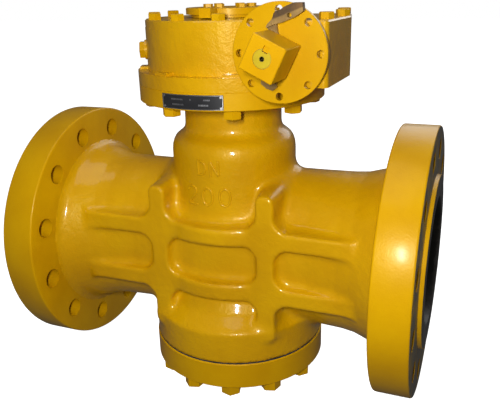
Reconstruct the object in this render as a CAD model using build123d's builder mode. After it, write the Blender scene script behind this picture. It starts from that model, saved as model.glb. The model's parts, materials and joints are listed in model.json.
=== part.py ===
from build123d import *
import math
import os

# ---------------------------------------------------------------- driving dimensions (mm)
# Frame: origin at the centre of the inlet raised face, +X along the bore, +Z up the stem.
FACE_TO_FACE = 660.0
STEM_X = FACE_TO_FACE / 2

# end flanges
FLANGE_R = 210.0
FLANGE_T = 55.6
RAISED_R = 134.95
RAISED_T = 6.4
END_BOLT_PCD = 349.2
END_BOLT_COUNT = 12
END_BOLT_R = 15.9
OUTLET_BOLT_R = 15.7  # bolt hole radius in the outlet flange
BORE_R = 101.6
HUB_R = 142.0

# body shell
BARREL_R = 101.5
BARREL_SHOULDER_Z = 165.0
NECK_R = 78.5
NECK_TOP_Z = 246.0
PIPE_HALF_Z = 131.0
PIPE_HALF_Y = 98.0
RIB_FRONT_Y = 113.0
RIB_UPRIGHT_IN = 77.0
RIB_UPRIGHT_OUT = 105.0
RIB_UPRIGHT_TOP = 113.0
RIB_UPRIGHT_BOTTOM = -108.0
RIB_BAR_LOW = 33.0
RIB_BAR_HIGH = 60.0
RIB_BAR_END = 224.0
RIB_GUSSET = 15.0
BAND_R = 135.0
BAND_OFFSET = 8.0
BODY_FLANGE_R = 147.0
BODY_FLANGE_TOP_Z = -109.0
BODY_FLANGE_BOTTOM_Z = -162.0

# plug seat and flow passage
SEAT_TOP_Z = 105.0
SEAT_BOTTOM_Z = -115.0
SEAT_TOP_R = 72.5
SEAT_BOTTOM_R = 92.5
SEAT_GAP = 0.3
PORT_W = 90.0
PORT_H = 170.0
PORT_CORNER = 30.0
COVER_BORE_R = 96.0

# stem, packing and gland
STEM_R = 25.0
STEM_HOLE_R = 25.05
STEM_COLLAR_R = 38.0
STEM_COLLAR_BOTTOM_Z = 107.0
STEM_COLLAR_TOP_Z = 119.0
STEM_CHAMBER_R = 42.0
STEM_CHAMBER_TOP_Z = 122.0
STEM_TOP_Z = 364.0
TONGUE_W = 30.0
TONGUE_DEPTH = 12.0
BOX_BOTTOM_Z = 190.0
BOX_R = 36.0
PACKING_RINGS = 4
PACKING_H = 9.5
GLAND_FLANGE_R = 56.0
GLAND_FLANGE_T = 9.0
GLAND_SCREW_PCD_R = 47.0

# bottom cover
COVER_R = 148.0
COVER_TOP_Z = -163.0
COVER_BOTTOM_Z = -207.0
COVER_STUD_PCD_R = 128.0
COVER_STUD_COUNT = 12
COVER_STUD_R = 10.0
COVER_NUT_FLATS = 30.0
COVER_NUT_H = 18.0
ADJUSTER_R = 18.0
ADJUSTER_NUT_FLATS = 50.0
THRUST_PAD_R = 35.0

# mounting plate and its fasteners
PLATE_R = 147.0
PLATE_BOTTOM_Z = 246.0
PLATE_TOP_Z = 272.0
MOUNT_BOLT_PCD_R = 127.0
MOUNT_BOLT_COUNT = 8
MOUNT_BOLT_R = 8.0
MOUNT_BOLT_FLATS = 24.0
MOUNT_BOLT_HEAD = 14.0
NECK_SCREW_PCD_R = 67.0
NAMEPLATE_R = 147.8
NAMEPLATE_FROM_DEG = -110.0
NAMEPLATE_SPAN_DEG = 38.0
NAMEPLATE_LOW_Z = 248.0
NAMEPLATE_HIGH_Z = 269.0

# gear housing
HOUSING_FLANGE_R = 147.0
HOUSING_FLANGE_TOP_Z = 292.0
RING_R = 131.5
RING_INNER_R = 112.5
RING_TOP_Z = 355.0
SIDE_PLUG_DEG = 205.0
SIDE_PLUG_Z = 321.0
LID_R = 131.0
LID_TOP_Z = 367.0
CHAMBER_FRONT_Y = -132.0
CHAMBER_REAR_Y = 92.0
CHAMBER_IN_X = 70.0
CHAMBER_OUT_X = 190.0
CHAMBER_REAR_X = 170.0
CHAMBER_BOTTOM_Z = 282.0
LID_SCREW_R = 5.0
LID_SCREW_FLATS = 18.0
LID_SCREW_HEAD = 9.0
LID_SCREW_PCD_R = 120.0

# worm drive: module, teeth and centre distance
MODULE = 5.0
WHEEL_TEETH = 42
WHEEL_PITCH_R = MODULE * WHEEL_TEETH / 2
WORM_PITCH_R = 25.0
CENTRE_DISTANCE = WHEEL_PITCH_R + WORM_PITCH_R
WORM_Z = 327.0
WORM_X = STEM_X + CENTRE_DISTANCE
WORM_TURNS = 6
WORM_LEAD = math.pi * MODULE
WORM_OUTER_R = WORM_PITCH_R + MODULE
WORM_ROOT_R = WORM_PITCH_R - 1.2 * MODULE
THREAD_THINNING = 0.3
WHEEL_TIP_R = WHEEL_PITCH_R + MODULE
WHEEL_ROOT_R = WHEEL_PITCH_R - 1.2 * MODULE
WHEEL_FACE = 32.0
WHEEL_HUB_R = 55.0
WHEEL_JOURNAL_R = 40.0
JOURNAL_BORE_R = 40.06
TUNNEL_R = 33.0
TUNNEL_FRONT_Y = -100.0
TUNNEL_REAR_Y = 54.0

# input shaft line
SHAFT_R = 15.0
SHAFT_END_R = 12.0
FRONT_BEARING_R = 31.0
BEARING_SCREW_X = 72.0
BEARING_SCREW_Z = 34.0
REAR_BEARING_R = 26.0
REAR_JOURNAL_R = 12.5
REAR_JOURNAL_END_Y = 76.0
DISC_FRONT_Y = -149.0
DISC_T = 8.0
DISC_R = 64.5
DISC_HOLE_PCD_R = 55.0
DISC_HOLE_R = 5.2
ARM_T = 5.0
ARM_LUG_T = 6.0
ARM_LUG_SLOPE = 17.0
BLOCK_SIDE = 46.5
BLOCK_FRONT_Y = -213.0
BLOCK_TILT = -26.0
KEY_W = 8.0

# indicator cap on the stem
CAP_R = 68.0
CAP_BOTTOM_Z = 372.0
CAP_TOP_Z = 381.5
CAP_NECK_R = 60.0
POINTER_W = 18.0
POINTER_REACH = 92.0

# ---------------------------------------------------------------- named frames
STEM_AXIS = Axis((STEM_X, 0, 0), (0, 0, 1))
BORE_AXIS = Axis.X
STEM_PROFILE = Plane(origin=(STEM_X, 0, 0), x_dir=(1, 0, 0), z_dir=(0, -1, 0))
BORE_PROFILE = Plane.XZ
LOW = (Align.CENTER, Align.CENTER, Align.MIN)


def level(height):
    """Horizontal sketch plane centred on the stem axis."""
    return Plane(origin=(STEM_X, 0, height))


def section(distance):
    """Plane square to the bore at a distance from the stem axis."""
    return Plane(origin=(STEM_X + distance, 0, 0), x_dir=(0, 1, 0), z_dir=(1, 0, 0))


def across_worm(y):
    """Plane square to the worm axis, looking along +Y, local x to the right."""
    return Plane(origin=(WORM_X, y, WORM_Z), x_dir=(1, 0, 0), z_dir=(0, -1, 0))


def block_plane(y):
    """Plane square to the worm axis, turned with the square block."""
    tilt = math.radians(BLOCK_TILT)
    return Plane(origin=(WORM_X, y, WORM_Z), x_dir=(math.cos(tilt), 0, math.sin(tilt)), z_dir=(0, -1, 0))


def side_plug_plane(radius):
    """Plane square to the side plug, at a radius from the stem axis."""
    angle = math.radians(SIDE_PLUG_DEG)
    outward = (math.cos(angle), math.sin(angle), 0)
    return Plane(origin=(STEM_X + radius * outward[0], radius * outward[1], SIDE_PLUG_Z), z_dir=outward)


def straddle(count):
    """First hole angle of a pattern that straddles its centrelines."""
    return 180.0 / count


def finish(builder, name):
    """Label the piece and write it to its own file."""
    builder.part.label = name
    os.makedirs("parts", exist_ok=True)
    export_step(builder.part, "parts/" + name + ".step")


# ---------------------------------------------------------------- body casting
def make_valve_body():
    with BuildPart() as valve_body:
        # rib lattice: two uprights, two bars across them, rounded like a casting
        with BuildSketch(Plane(origin=(STEM_X, RIB_FRONT_Y, 0), x_dir=(1, 0, 0), z_dir=(0, -1, 0))):
            upright_mid = (RIB_UPRIGHT_IN + RIB_UPRIGHT_OUT) / 2
            upright_w = RIB_UPRIGHT_OUT - RIB_UPRIGHT_IN
            upright_h = RIB_UPRIGHT_TOP - RIB_UPRIGHT_BOTTOM
            bar_mid = (RIB_BAR_LOW + RIB_BAR_HIGH) / 2
            bar_len = RIB_BAR_END - upright_mid
            with Locations(
                (upright_mid, (RIB_UPRIGHT_TOP + RIB_UPRIGHT_BOTTOM) / 2),
                (-upright_mid, (RIB_UPRIGHT_TOP + RIB_UPRIGHT_BOTTOM) / 2),
            ):
                Rectangle(upright_w, upright_h)
            for side in (-1, 1):
                for row in (-1, 1):
                    with Locations((side * (upright_mid + bar_len / 2), row * bar_mid)):
                        Rectangle(bar_len, RIB_BAR_HIGH - RIB_BAR_LOW)
            # gussets in the corners where a bar crosses an upright
            reach = (upright_w + RIB_BAR_HIGH - RIB_BAR_LOW) / 2 + RIB_GUSSET
            with GridLocations(2 * upright_mid, 2 * bar_mid, 2, 2):
                Rectangle(reach * math.sqrt(2), reach * math.sqrt(2), rotation=45)
        lattice = extrude(amount=2 * RIB_FRONT_Y)
        uprights = lattice.edges().filter_by(Axis.Y)
        fillet(uprights, radius=7)
        fronts = valve_body.faces().filter_by(Axis.Y).edges()
        fillet(fronts, radius=4)
        # convex bands that join the uprights across the barrel
        for row in (-1, 1):
            with BuildSketch(level(row * (RIB_BAR_LOW + RIB_BAR_HIGH) / 2)):
                with Locations((0, BAND_OFFSET)):
                    Circle(BAND_R)
                with Locations((0, -BAND_OFFSET)):
                    Circle(BAND_R, mode=Mode.INTERSECT)
                with Locations((0, 0)):
                    Rectangle(2 * upright_mid, 2 * BAND_R, mode=Mode.INTERSECT)
            extrude(amount=(RIB_BAR_HIGH - RIB_BAR_LOW) / 2, both=True)
        # barrel, neck and the flange for the bottom cover
        with BuildSketch(STEM_PROFILE):
            with BuildLine():
                Polyline(
                    (0, BODY_FLANGE_BOTTOM_Z), (BODY_FLANGE_R, BODY_FLANGE_BOTTOM_Z),
                    (BODY_FLANGE_R, BODY_FLANGE_TOP_Z), (BODY_FLANGE_R - 12, BODY_FLANGE_TOP_Z + 9),
                    (BARREL_R + 8, BODY_FLANGE_TOP_Z + 32), (BARREL_R, BODY_FLANGE_TOP_Z + 55),
                    (BARREL_R, BARREL_SHOULDER_Z), (BARREL_R - 1.5, BARREL_SHOULDER_Z + 9),
                    (BARREL_R - 5, BARREL_SHOULDER_Z + 17), (BARREL_R - 11, BARREL_SHOULDER_Z + 23),
                    (NECK_R + 6, BARREL_SHOULDER_Z + 27), (NECK_R + 1.5, BARREL_SHOULDER_Z + 31),
                    (NECK_R, BARREL_SHOULDER_Z + 36), (NECK_R, NECK_TOP_Z), (0, NECK_TOP_Z), close=True)
            make_face()
        revolve(axis=STEM_AXIS)
        # pipe arms, tall and narrow at the barrel and round at the hubs
        for side in (-1, 1):
            with BuildSketch(section(0)):
                Ellipse(PIPE_HALF_Y, PIPE_HALF_Z)
            extrude(amount=side * 150)
            with BuildSketch(section(side * 150)):
                Ellipse(PIPE_HALF_Y, PIPE_HALF_Z)
            with BuildSketch(section(side * 218)):
                Ellipse(114, 132)
            with BuildSketch(section(side * 246)):
                Ellipse(131, 139)
            with BuildSketch(section(side * 275)):
                Circle(HUB_R + 8)
            loft()
        # end flanges
        for side in (-1, 1):
            with BuildSketch(section(side * (STEM_X - RAISED_T - FLANGE_T))):
                Circle(FLANGE_R)
            extrude(amount=side * FLANGE_T)
            with BuildSketch(section(side * (STEM_X - RAISED_T))):
                Circle(RAISED_R)
            extrude(amount=side * RAISED_T)
        rims = valve_body.edges().filter_by(GeomType.CIRCLE).filter_by(
            lambda e: abs(e.radius - FLANGE_R) < 0.01)
        chamfer(rims, length=2.5)
        # tapered plug seat, cover bore and stem bores
        with BuildSketch(STEM_PROFILE):
            with BuildLine():
                Polyline(
                    (0, BODY_FLANGE_BOTTOM_Z), (COVER_BORE_R, BODY_FLANGE_BOTTOM_Z),
                    (COVER_BORE_R, SEAT_BOTTOM_Z - 8), (SEAT_BOTTOM_R, SEAT_BOTTOM_Z - 8),
                    (SEAT_BOTTOM_R, SEAT_BOTTOM_Z), (SEAT_TOP_R, SEAT_TOP_Z),
                    (STEM_CHAMBER_R, SEAT_TOP_Z), (STEM_CHAMBER_R, STEM_CHAMBER_TOP_Z),
                    (STEM_HOLE_R, STEM_CHAMBER_TOP_Z), (STEM_HOLE_R, BOX_BOTTOM_Z),
                    (BOX_R, BOX_BOTTOM_Z), (BOX_R, NECK_TOP_Z), (0, NECK_TOP_Z), close=True)
            make_face()
        revolve(axis=STEM_AXIS, mode=Mode.SUBTRACT)
        # flow passage: round at the ends, tall and narrow at the plug
        for side in (-1, 1):
            with BuildSketch(section(side * 240)):
                Circle(BORE_R)
            extrude(amount=side * (STEM_X - 240), mode=Mode.SUBTRACT)
            with BuildSketch(section(side * 240)):
                RectangleRounded(2 * BORE_R, 2 * BORE_R, BORE_R - 0.5)
            with BuildSketch(section(side * 95)):
                RectangleRounded(PORT_W, PORT_H, PORT_CORNER)
            loft(mode=Mode.SUBTRACT)
            with BuildSketch(section(side * 40)):
                RectangleRounded(PORT_W, PORT_H, PORT_CORNER)
            extrude(amount=side * 56, mode=Mode.SUBTRACT)
        # end flange bolt holes
        for side, hole_r in ((-1, END_BOLT_R), (1, OUTLET_BOLT_R)):
            with BuildSketch(section(side * (STEM_X - RAISED_T))):
                with PolarLocations(END_BOLT_PCD / 2, END_BOLT_COUNT, start_angle=straddle(END_BOLT_COUNT)):
                    Circle(hole_r)
            extrude(amount=-side * FLANGE_T, mode=Mode.SUBTRACT)
        # tapped holes: cover studs, gland screws, plate screws
        with BuildSketch(level(BODY_FLANGE_BOTTOM_Z)):
            with PolarLocations(COVER_STUD_PCD_R, COVER_STUD_COUNT, start_angle=straddle(COVER_STUD_COUNT)):
                Circle(COVER_STUD_R)
        extrude(amount=34, mode=Mode.SUBTRACT)
        with BuildSketch(level(NECK_TOP_Z)):
            with PolarLocations(GLAND_SCREW_PCD_R, 4, start_angle=45):
                Circle(4)
            with PolarLocations(NECK_SCREW_PCD_R, 8, start_angle=straddle(8)):
                Circle(5)
        extrude(amount=-22, mode=Mode.SUBTRACT)
    finish(valve_body, "valve_body")


# ---------------------------------------------------------------- plug and stem
def make_plug():
    with BuildPart() as plug:
        with BuildSketch(STEM_PROFILE):
            with BuildLine():
                Polyline(
                    (0, SEAT_BOTTOM_Z), (SEAT_BOTTOM_R - SEAT_GAP, SEAT_BOTTOM_Z),
                    (SEAT_TOP_R - SEAT_GAP, SEAT_TOP_Z - SEAT_GAP), (0, SEAT_TOP_Z - SEAT_GAP), close=True)
            make_face()
        revolve(axis=STEM_AXIS)
        with BuildSketch(Plane(origin=(STEM_X, 0, 0), x_dir=(1, 0, 0), z_dir=(0, 1, 0))):
            RectangleRounded(PORT_W, PORT_H, PORT_CORNER)
        extrude(amount=SEAT_BOTTOM_R + 2, both=True, mode=Mode.SUBTRACT)
        # slot for the stem's tongue
        with BuildSketch(level(SEAT_TOP_Z)):
            Rectangle(2 * STEM_COLLAR_R, TONGUE_W)
        extrude(amount=-TONGUE_DEPTH, mode=Mode.SUBTRACT)
    finish(plug, "plug")


def make_stem():
    with BuildPart() as stem:
        with BuildSketch(level(STEM_COLLAR_BOTTOM_Z)):
            Circle(STEM_COLLAR_R)
        extrude(amount=STEM_COLLAR_TOP_Z - STEM_COLLAR_BOTTOM_Z)
        with BuildSketch(level(STEM_COLLAR_TOP_Z)):
            Circle(STEM_R)
        extrude(amount=STEM_TOP_Z - STEM_COLLAR_TOP_Z)
        chamfer(stem.faces().sort_by(Axis.Z)[-1].edges(), length=1.5)
        with BuildSketch(level(STEM_COLLAR_BOTTOM_Z)):
            Circle(STEM_COLLAR_R)
            Rectangle(2 * STEM_COLLAR_R, TONGUE_W - 0.4, mode=Mode.INTERSECT)
        extrude(amount=-(STEM_COLLAR_BOTTOM_Z - SEAT_TOP_Z + TONGUE_DEPTH - 0.5))
        # keyway for the worm wheel
        with BuildSketch(level(STEM_TOP_Z - 70)):
            with Locations((STEM_R, 0)):
                Rectangle(11, 14)
        extrude(amount=55, mode=Mode.SUBTRACT)
    finish(stem, "stem")


def make_stem_key():
    with BuildPart() as stem_key:
        with BuildSketch(level(STEM_TOP_Z - 70)):
            with Locations((STEM_R, 0)):
                Rectangle(9, 14)
        extrude(amount=55)
    finish(stem_key, "stem_key")


def make_stem_thrust_washer():
    with BuildPart() as stem_thrust_washer:
        with BuildSketch(level(STEM_COLLAR_TOP_Z + 0.3)):
            Circle(STEM_CHAMBER_R - 0.5)
            Circle(STEM_HOLE_R, mode=Mode.SUBTRACT)
        extrude(amount=STEM_CHAMBER_TOP_Z - STEM_COLLAR_TOP_Z - 0.3)
    finish(stem_thrust_washer, "stem_thrust_washer")


def make_packing_rings():
    with BuildPart() as packing_rings:
        for index in range(PACKING_RINGS):
            with BuildSketch(level(BOX_BOTTOM_Z + index * PACKING_H)):
                Circle(BOX_R)
                Circle(STEM_HOLE_R, mode=Mode.SUBTRACT)
            extrude(amount=PACKING_H - 0.2)
    finish(packing_rings, "packing_rings")


def make_gland():
    sleeve_bottom = BOX_BOTTOM_Z + PACKING_RINGS * PACKING_H
    with BuildPart() as gland:
        with BuildSketch(level(sleeve_bottom)):
            Circle(BOX_R - 0.2)
        extrude(amount=NECK_TOP_Z - sleeve_bottom)
        with BuildSketch(level(NECK_TOP_Z)):
            Circle(GLAND_FLANGE_R)
        extrude(amount=GLAND_FLANGE_T)
        with BuildSketch(level(sleeve_bottom)):
            Circle(STEM_HOLE_R)
        extrude(amount=NECK_TOP_Z - sleeve_bottom + GLAND_FLANGE_T, mode=Mode.SUBTRACT)
        with BuildSketch(level(NECK_TOP_Z)):
            with PolarLocations(GLAND_SCREW_PCD_R, 4, start_angle=45):
                Circle(4.5)
        extrude(amount=GLAND_FLANGE_T, mode=Mode.SUBTRACT)
    finish(gland, "gland")


def make_gland_screws():
    seat = NECK_TOP_Z + GLAND_FLANGE_T
    with BuildPart() as gland_screws:
        with BuildSketch(level(seat)):
            with PolarLocations(GLAND_SCREW_PCD_R, 4, start_angle=45):
                RegularPolygon(6.5, 6, major_radius=False)
        extrude(amount=5.3)
        with BuildSketch(level(seat)):
            with PolarLocations(GLAND_SCREW_PCD_R, 4, start_angle=45):
                Circle(4)
        extrude(amount=-GLAND_FLANGE_T - 18)
    finish(gland_screws, "gland_screws")


# ---------------------------------------------------------------- bottom cover
def make_bottom_cover():
    with BuildPart() as bottom_cover:
        with BuildSketch(level(COVER_BOTTOM_Z)):
            Circle(COVER_R)
        extrude(amount=COVER_TOP_Z - COVER_BOTTOM_Z)
        chamfer(bottom_cover.edges().filter_by(GeomType.CIRCLE), length=1.5)
        with BuildSketch(level(COVER_TOP_Z)):
            Circle(COVER_BORE_R - 0.3)
            Circle(COVER_BORE_R - 16, mode=Mode.SUBTRACT)
        extrude(amount=24)
        with BuildSketch(level(COVER_BOTTOM_Z)):
            Circle(ADJUSTER_R)
            with PolarLocations(COVER_STUD_PCD_R, COVER_STUD_COUNT, start_angle=straddle(COVER_STUD_COUNT)):
                Circle(COVER_STUD_R + 1)
        extrude(amount=COVER_TOP_Z - COVER_BOTTOM_Z, mode=Mode.SUBTRACT)
    finish(bottom_cover, "bottom_cover")


def make_cover_gasket():
    with BuildPart() as cover_gasket:
        with BuildSketch(level(COVER_TOP_Z)):
            Circle(BODY_FLANGE_R - 1)
            Circle(COVER_BORE_R, mode=Mode.SUBTRACT)
            with PolarLocations(COVER_STUD_PCD_R, COVER_STUD_COUNT, start_angle=straddle(COVER_STUD_COUNT)):
                Circle(COVER_STUD_R + 1, mode=Mode.SUBTRACT)
        extrude(amount=BODY_FLANGE_BOTTOM_Z - COVER_TOP_Z)
    finish(cover_gasket, "cover_gasket")


def make_cover_studs():
    stud_end = COVER_BOTTOM_Z - COVER_NUT_H + 1
    with BuildPart() as cover_studs:
        with BuildSketch(level(stud_end)):
            with PolarLocations(COVER_STUD_PCD_R, COVER_STUD_COUNT, start_angle=straddle(COVER_STUD_COUNT)):
                Circle(COVER_STUD_R)
        extrude(amount=BODY_FLANGE_BOTTOM_Z + 30 - stud_end)
        chamfer(cover_studs.faces().group_by(Axis.Z)[0].edges(), length=1.2)
    finish(cover_studs, "cover_studs")


def make_cover_nuts():
    with BuildPart() as cover_nuts:
        with BuildSketch(level(COVER_BOTTOM_Z)):
            with PolarLocations(COVER_STUD_PCD_R, COVER_STUD_COUNT, start_angle=straddle(COVER_STUD_COUNT)):
                RegularPolygon(COVER_NUT_FLATS / 2, 6, major_radius=False)
                Circle(COVER_STUD_R, mode=Mode.SUBTRACT)
        extrude(amount=-COVER_NUT_H)
        chamfer(cover_nuts.faces().group_by(Axis.Z)[0].edges().filter_by(GeomType.LINE), length=1.2)
    finish(cover_nuts, "cover_nuts")


def make_adjusting_screw():
    with BuildPart() as adjusting_screw:
        with BuildSketch(level(COVER_BOTTOM_Z - 16)):
            Circle(ADJUSTER_R)
        extrude(amount=SEAT_BOTTOM_Z - 14 - COVER_BOTTOM_Z + 16)
        chamfer(adjusting_screw.edges().filter_by(GeomType.CIRCLE), length=1.5)
        with BuildSketch(level(COVER_BOTTOM_Z - 16)):
            RegularPolygon(8.5, 6, major_radius=False)
        extrude(amount=12, mode=Mode.SUBTRACT)
    finish(adjusting_screw, "adjusting_screw")


def make_adjuster_locknut():
    with BuildPart() as adjuster_locknut:
        with BuildSketch(level(COVER_BOTTOM_Z)):
            RegularPolygon(ADJUSTER_NUT_FLATS / 2, 6, major_radius=False)
            Circle(ADJUSTER_R, mode=Mode.SUBTRACT)
        extrude(amount=-13)
    finish(adjuster_locknut, "adjuster_locknut")


def make_thrust_pad():
    with BuildPart() as thrust_pad:
        with BuildSketch(level(SEAT_BOTTOM_Z - 14)):
            Circle(THRUST_PAD_R)
        extrude(amount=13.6)
        chamfer(thrust_pad.faces().sort_by(Axis.Z)[-1].edges(), length=2)
    finish(thrust_pad, "thrust_pad")


# ---------------------------------------------------------------- mounting plate
def make_mounting_plate():
    with BuildPart() as mounting_plate:
        with BuildSketch(level(PLATE_BOTTOM_Z)):
            Circle(PLATE_R)
        extrude(amount=PLATE_TOP_Z - PLATE_BOTTOM_Z)
        chamfer(mounting_plate.edges().filter_by(GeomType.CIRCLE), length=1)
        with BuildSketch(level(PLATE_BOTTOM_Z)):
            Circle(GLAND_FLANGE_R + 1)
            with PolarLocations(MOUNT_BOLT_PCD_R, MOUNT_BOLT_COUNT, start_angle=straddle(MOUNT_BOLT_COUNT)):
                Circle(MOUNT_BOLT_R + 0.75)
            with PolarLocations(NECK_SCREW_PCD_R, 8, start_angle=straddle(8)):
                Circle(5.5)
        extrude(amount=PLATE_TOP_Z - PLATE_BOTTOM_Z, mode=Mode.SUBTRACT)
        with BuildSketch(level(PLATE_TOP_Z)):
            with PolarLocations(NECK_SCREW_PCD_R, 8, start_angle=straddle(8)):
                Circle(9)
        extrude(amount=-11, mode=Mode.SUBTRACT)
    finish(mounting_plate, "mounting_plate")


def make_neck_screws():
    with BuildPart() as neck_screws:
        with BuildSketch(level(PLATE_TOP_Z - 11)):
            with PolarLocations(NECK_SCREW_PCD_R, 8, start_angle=straddle(8)):
                Circle(8)
        extrude(amount=10)
        with BuildSketch(level(PLATE_TOP_Z - 1)):
            with PolarLocations(NECK_SCREW_PCD_R, 8, start_angle=straddle(8)):
                RegularPolygon(4, 6, major_radius=False)
        extrude(amount=-5, mode=Mode.SUBTRACT)
        with BuildSketch(level(PLATE_TOP_Z - 11)):
            with PolarLocations(NECK_SCREW_PCD_R, 8, start_angle=straddle(8)):
                Circle(5)
        extrude(amount=-33)
    finish(neck_screws, "neck_screws")


def make_mounting_bolts():
    with BuildPart() as mounting_bolts:
        with BuildSketch(level(PLATE_BOTTOM_Z)):
            with PolarLocations(MOUNT_BOLT_PCD_R, MOUNT_BOLT_COUNT, start_angle=straddle(MOUNT_BOLT_COUNT)):
                RegularPolygon(MOUNT_BOLT_FLATS / 2, 6, major_radius=False)
        extrude(amount=-MOUNT_BOLT_HEAD)
        chamfer(mounting_bolts.faces().group_by(Axis.Z)[0].edges(), length=1.2)
        with BuildSketch(level(PLATE_BOTTOM_Z)):
            with PolarLocations(MOUNT_BOLT_PCD_R, MOUNT_BOLT_COUNT, start_angle=straddle(MOUNT_BOLT_COUNT)):
                Circle(MOUNT_BOLT_R)
        extrude(amount=42)
    finish(mounting_bolts, "mounting_bolts")


def make_nameplate():
    with BuildPart() as nameplate:
        with BuildSketch(STEM_PROFILE):
            with Locations(((PLATE_R + NAMEPLATE_R) / 2, (NAMEPLATE_LOW_Z + NAMEPLATE_HIGH_Z) / 2)):
                Rectangle(NAMEPLATE_R - PLATE_R, NAMEPLATE_HIGH_Z - NAMEPLATE_LOW_Z)
        revolve(axis=STEM_AXIS, revolution_arc=NAMEPLATE_SPAN_DEG)
    nameplate.part = nameplate.part.rotate(STEM_AXIS, NAMEPLATE_FROM_DEG)
    finish(nameplate, "nameplate")


def make_nameplate_rivets():
    with BuildPart() as nameplate_rivets:
        for angle in (NAMEPLATE_FROM_DEG + 1.4, NAMEPLATE_FROM_DEG + NAMEPLATE_SPAN_DEG - 1.4):
            outward = (math.cos(math.radians(angle)), math.sin(math.radians(angle)), 0)
            for height in (NAMEPLATE_LOW_Z + 3, NAMEPLATE_HIGH_Z - 3):
                seat = Plane(
                    origin=(STEM_X + NAMEPLATE_R * outward[0], NAMEPLATE_R * outward[1], height),
                    z_dir=outward)
                with BuildSketch(seat.offset(0.02)):
                    Circle(1.6)
                extrude(amount=0.8)
    finish(nameplate_rivets, "nameplate_rivets")


# ---------------------------------------------------------------- gear housing
def chamber_outline():
    """Plan outline of the worm chamber, relative to the stem axis."""
    return (
        (CHAMBER_IN_X, CHAMBER_FRONT_Y), (CHAMBER_OUT_X, CHAMBER_FRONT_Y), (CHAMBER_OUT_X, 0),
        (CHAMBER_REAR_X, CHAMBER_REAR_Y), (CHAMBER_IN_X, CHAMBER_REAR_Y))


def lid_screw_points():
    """Lid screw positions relative to the stem axis."""
    arc = []
    for angle in range(75, 256, 30):
        arc.append((
            LID_SCREW_PCD_R * math.cos(math.radians(angle)), LID_SCREW_PCD_R * math.sin(math.radians(angle))))
    front = (LID_SCREW_PCD_R * math.cos(math.radians(-75)), LID_SCREW_PCD_R * math.sin(math.radians(-75)))
    return arc + [front, (CHAMBER_OUT_X - 15, CHAMBER_FRONT_Y + 48), (CHAMBER_OUT_X - 15, 8), (161, 79)]


def make_gear_housing():
    with BuildPart() as gear_housing:
        with BuildSketch(level(CHAMBER_BOTTOM_Z)):
            with BuildLine():
                Polyline(*chamber_outline(), close=True)
            make_face()
        extrude(amount=RING_TOP_Z - CHAMBER_BOTTOM_Z)
        fillet(gear_housing.edges().filter_by(Axis.Z).sort_by(Axis.X)[-3:], radius=7)
        with BuildSketch(level(PLATE_TOP_Z)):
            Circle(HOUSING_FLANGE_R)
        extrude(amount=HOUSING_FLANGE_TOP_Z - PLATE_TOP_Z)
        with BuildSketch(level(HOUSING_FLANGE_TOP_Z)):
            Circle(RING_R)
        extrude(amount=RING_TOP_Z - HOUSING_FLANGE_TOP_Z)
        # pads over the mounting bolts
        with BuildSketch(level(HOUSING_FLANGE_TOP_Z)):
            with PolarLocations(RING_R, MOUNT_BOLT_COUNT, start_angle=straddle(MOUNT_BOLT_COUNT)):
                Rectangle(24, 25)
            Circle(HOUSING_FLANGE_R - 1, mode=Mode.INTERSECT)
        extrude(amount=4)
        # boss for the side plug
        with BuildSketch(side_plug_plane(RING_INNER_R + 4)):
            Circle(15)
        extrude(amount=RING_R - RING_INNER_R - 4 + 3)
        # wheel chamber and its floor bore
        with BuildSketch(level(HOUSING_FLANGE_TOP_Z)):
            Circle(RING_INNER_R)
        extrude(amount=RING_TOP_Z - HOUSING_FLANGE_TOP_Z, mode=Mode.SUBTRACT)
        with BuildSketch(level(PLATE_TOP_Z)):
            Circle(JOURNAL_BORE_R)
        extrude(amount=HOUSING_FLANGE_TOP_Z - PLATE_TOP_Z, mode=Mode.SUBTRACT)
        # worm tunnel with its bearing seats
        with BuildSketch(across_worm(TUNNEL_REAR_Y)):
            Circle(TUNNEL_R)
        extrude(amount=TUNNEL_REAR_Y - TUNNEL_FRONT_Y, mode=Mode.SUBTRACT)
        with BuildSketch(across_worm(TUNNEL_FRONT_Y)):
            Circle(FRONT_BEARING_R)
        extrude(amount=TUNNEL_FRONT_Y - CHAMBER_FRONT_Y, mode=Mode.SUBTRACT)
        with BuildSketch(across_worm(CHAMBER_REAR_Y)):
            Circle(REAR_BEARING_R)
        extrude(amount=CHAMBER_REAR_Y - TUNNEL_REAR_Y, mode=Mode.SUBTRACT)
        # tapped holes
        with BuildSketch(level(PLATE_TOP_Z)):
            with PolarLocations(MOUNT_BOLT_PCD_R, MOUNT_BOLT_COUNT, start_angle=straddle(MOUNT_BOLT_COUNT)):
                Circle(MOUNT_BOLT_R)
        extrude(amount=18, mode=Mode.SUBTRACT)
        with BuildSketch(level(RING_TOP_Z)):
            with Locations(*lid_screw_points()):
                Circle(LID_SCREW_R)
        extrude(amount=-13, mode=Mode.SUBTRACT)
        with BuildSketch(across_worm(CHAMBER_FRONT_Y)):
            with GridLocations(BEARING_SCREW_X, BEARING_SCREW_Z, 2, 2):
                Circle(3)
        extrude(amount=-12, mode=Mode.SUBTRACT)
        with BuildSketch(side_plug_plane(RING_INNER_R - 2)):
            Circle(8)
        extrude(amount=30, mode=Mode.SUBTRACT)
    finish(gear_housing, "gear_housing")


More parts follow.
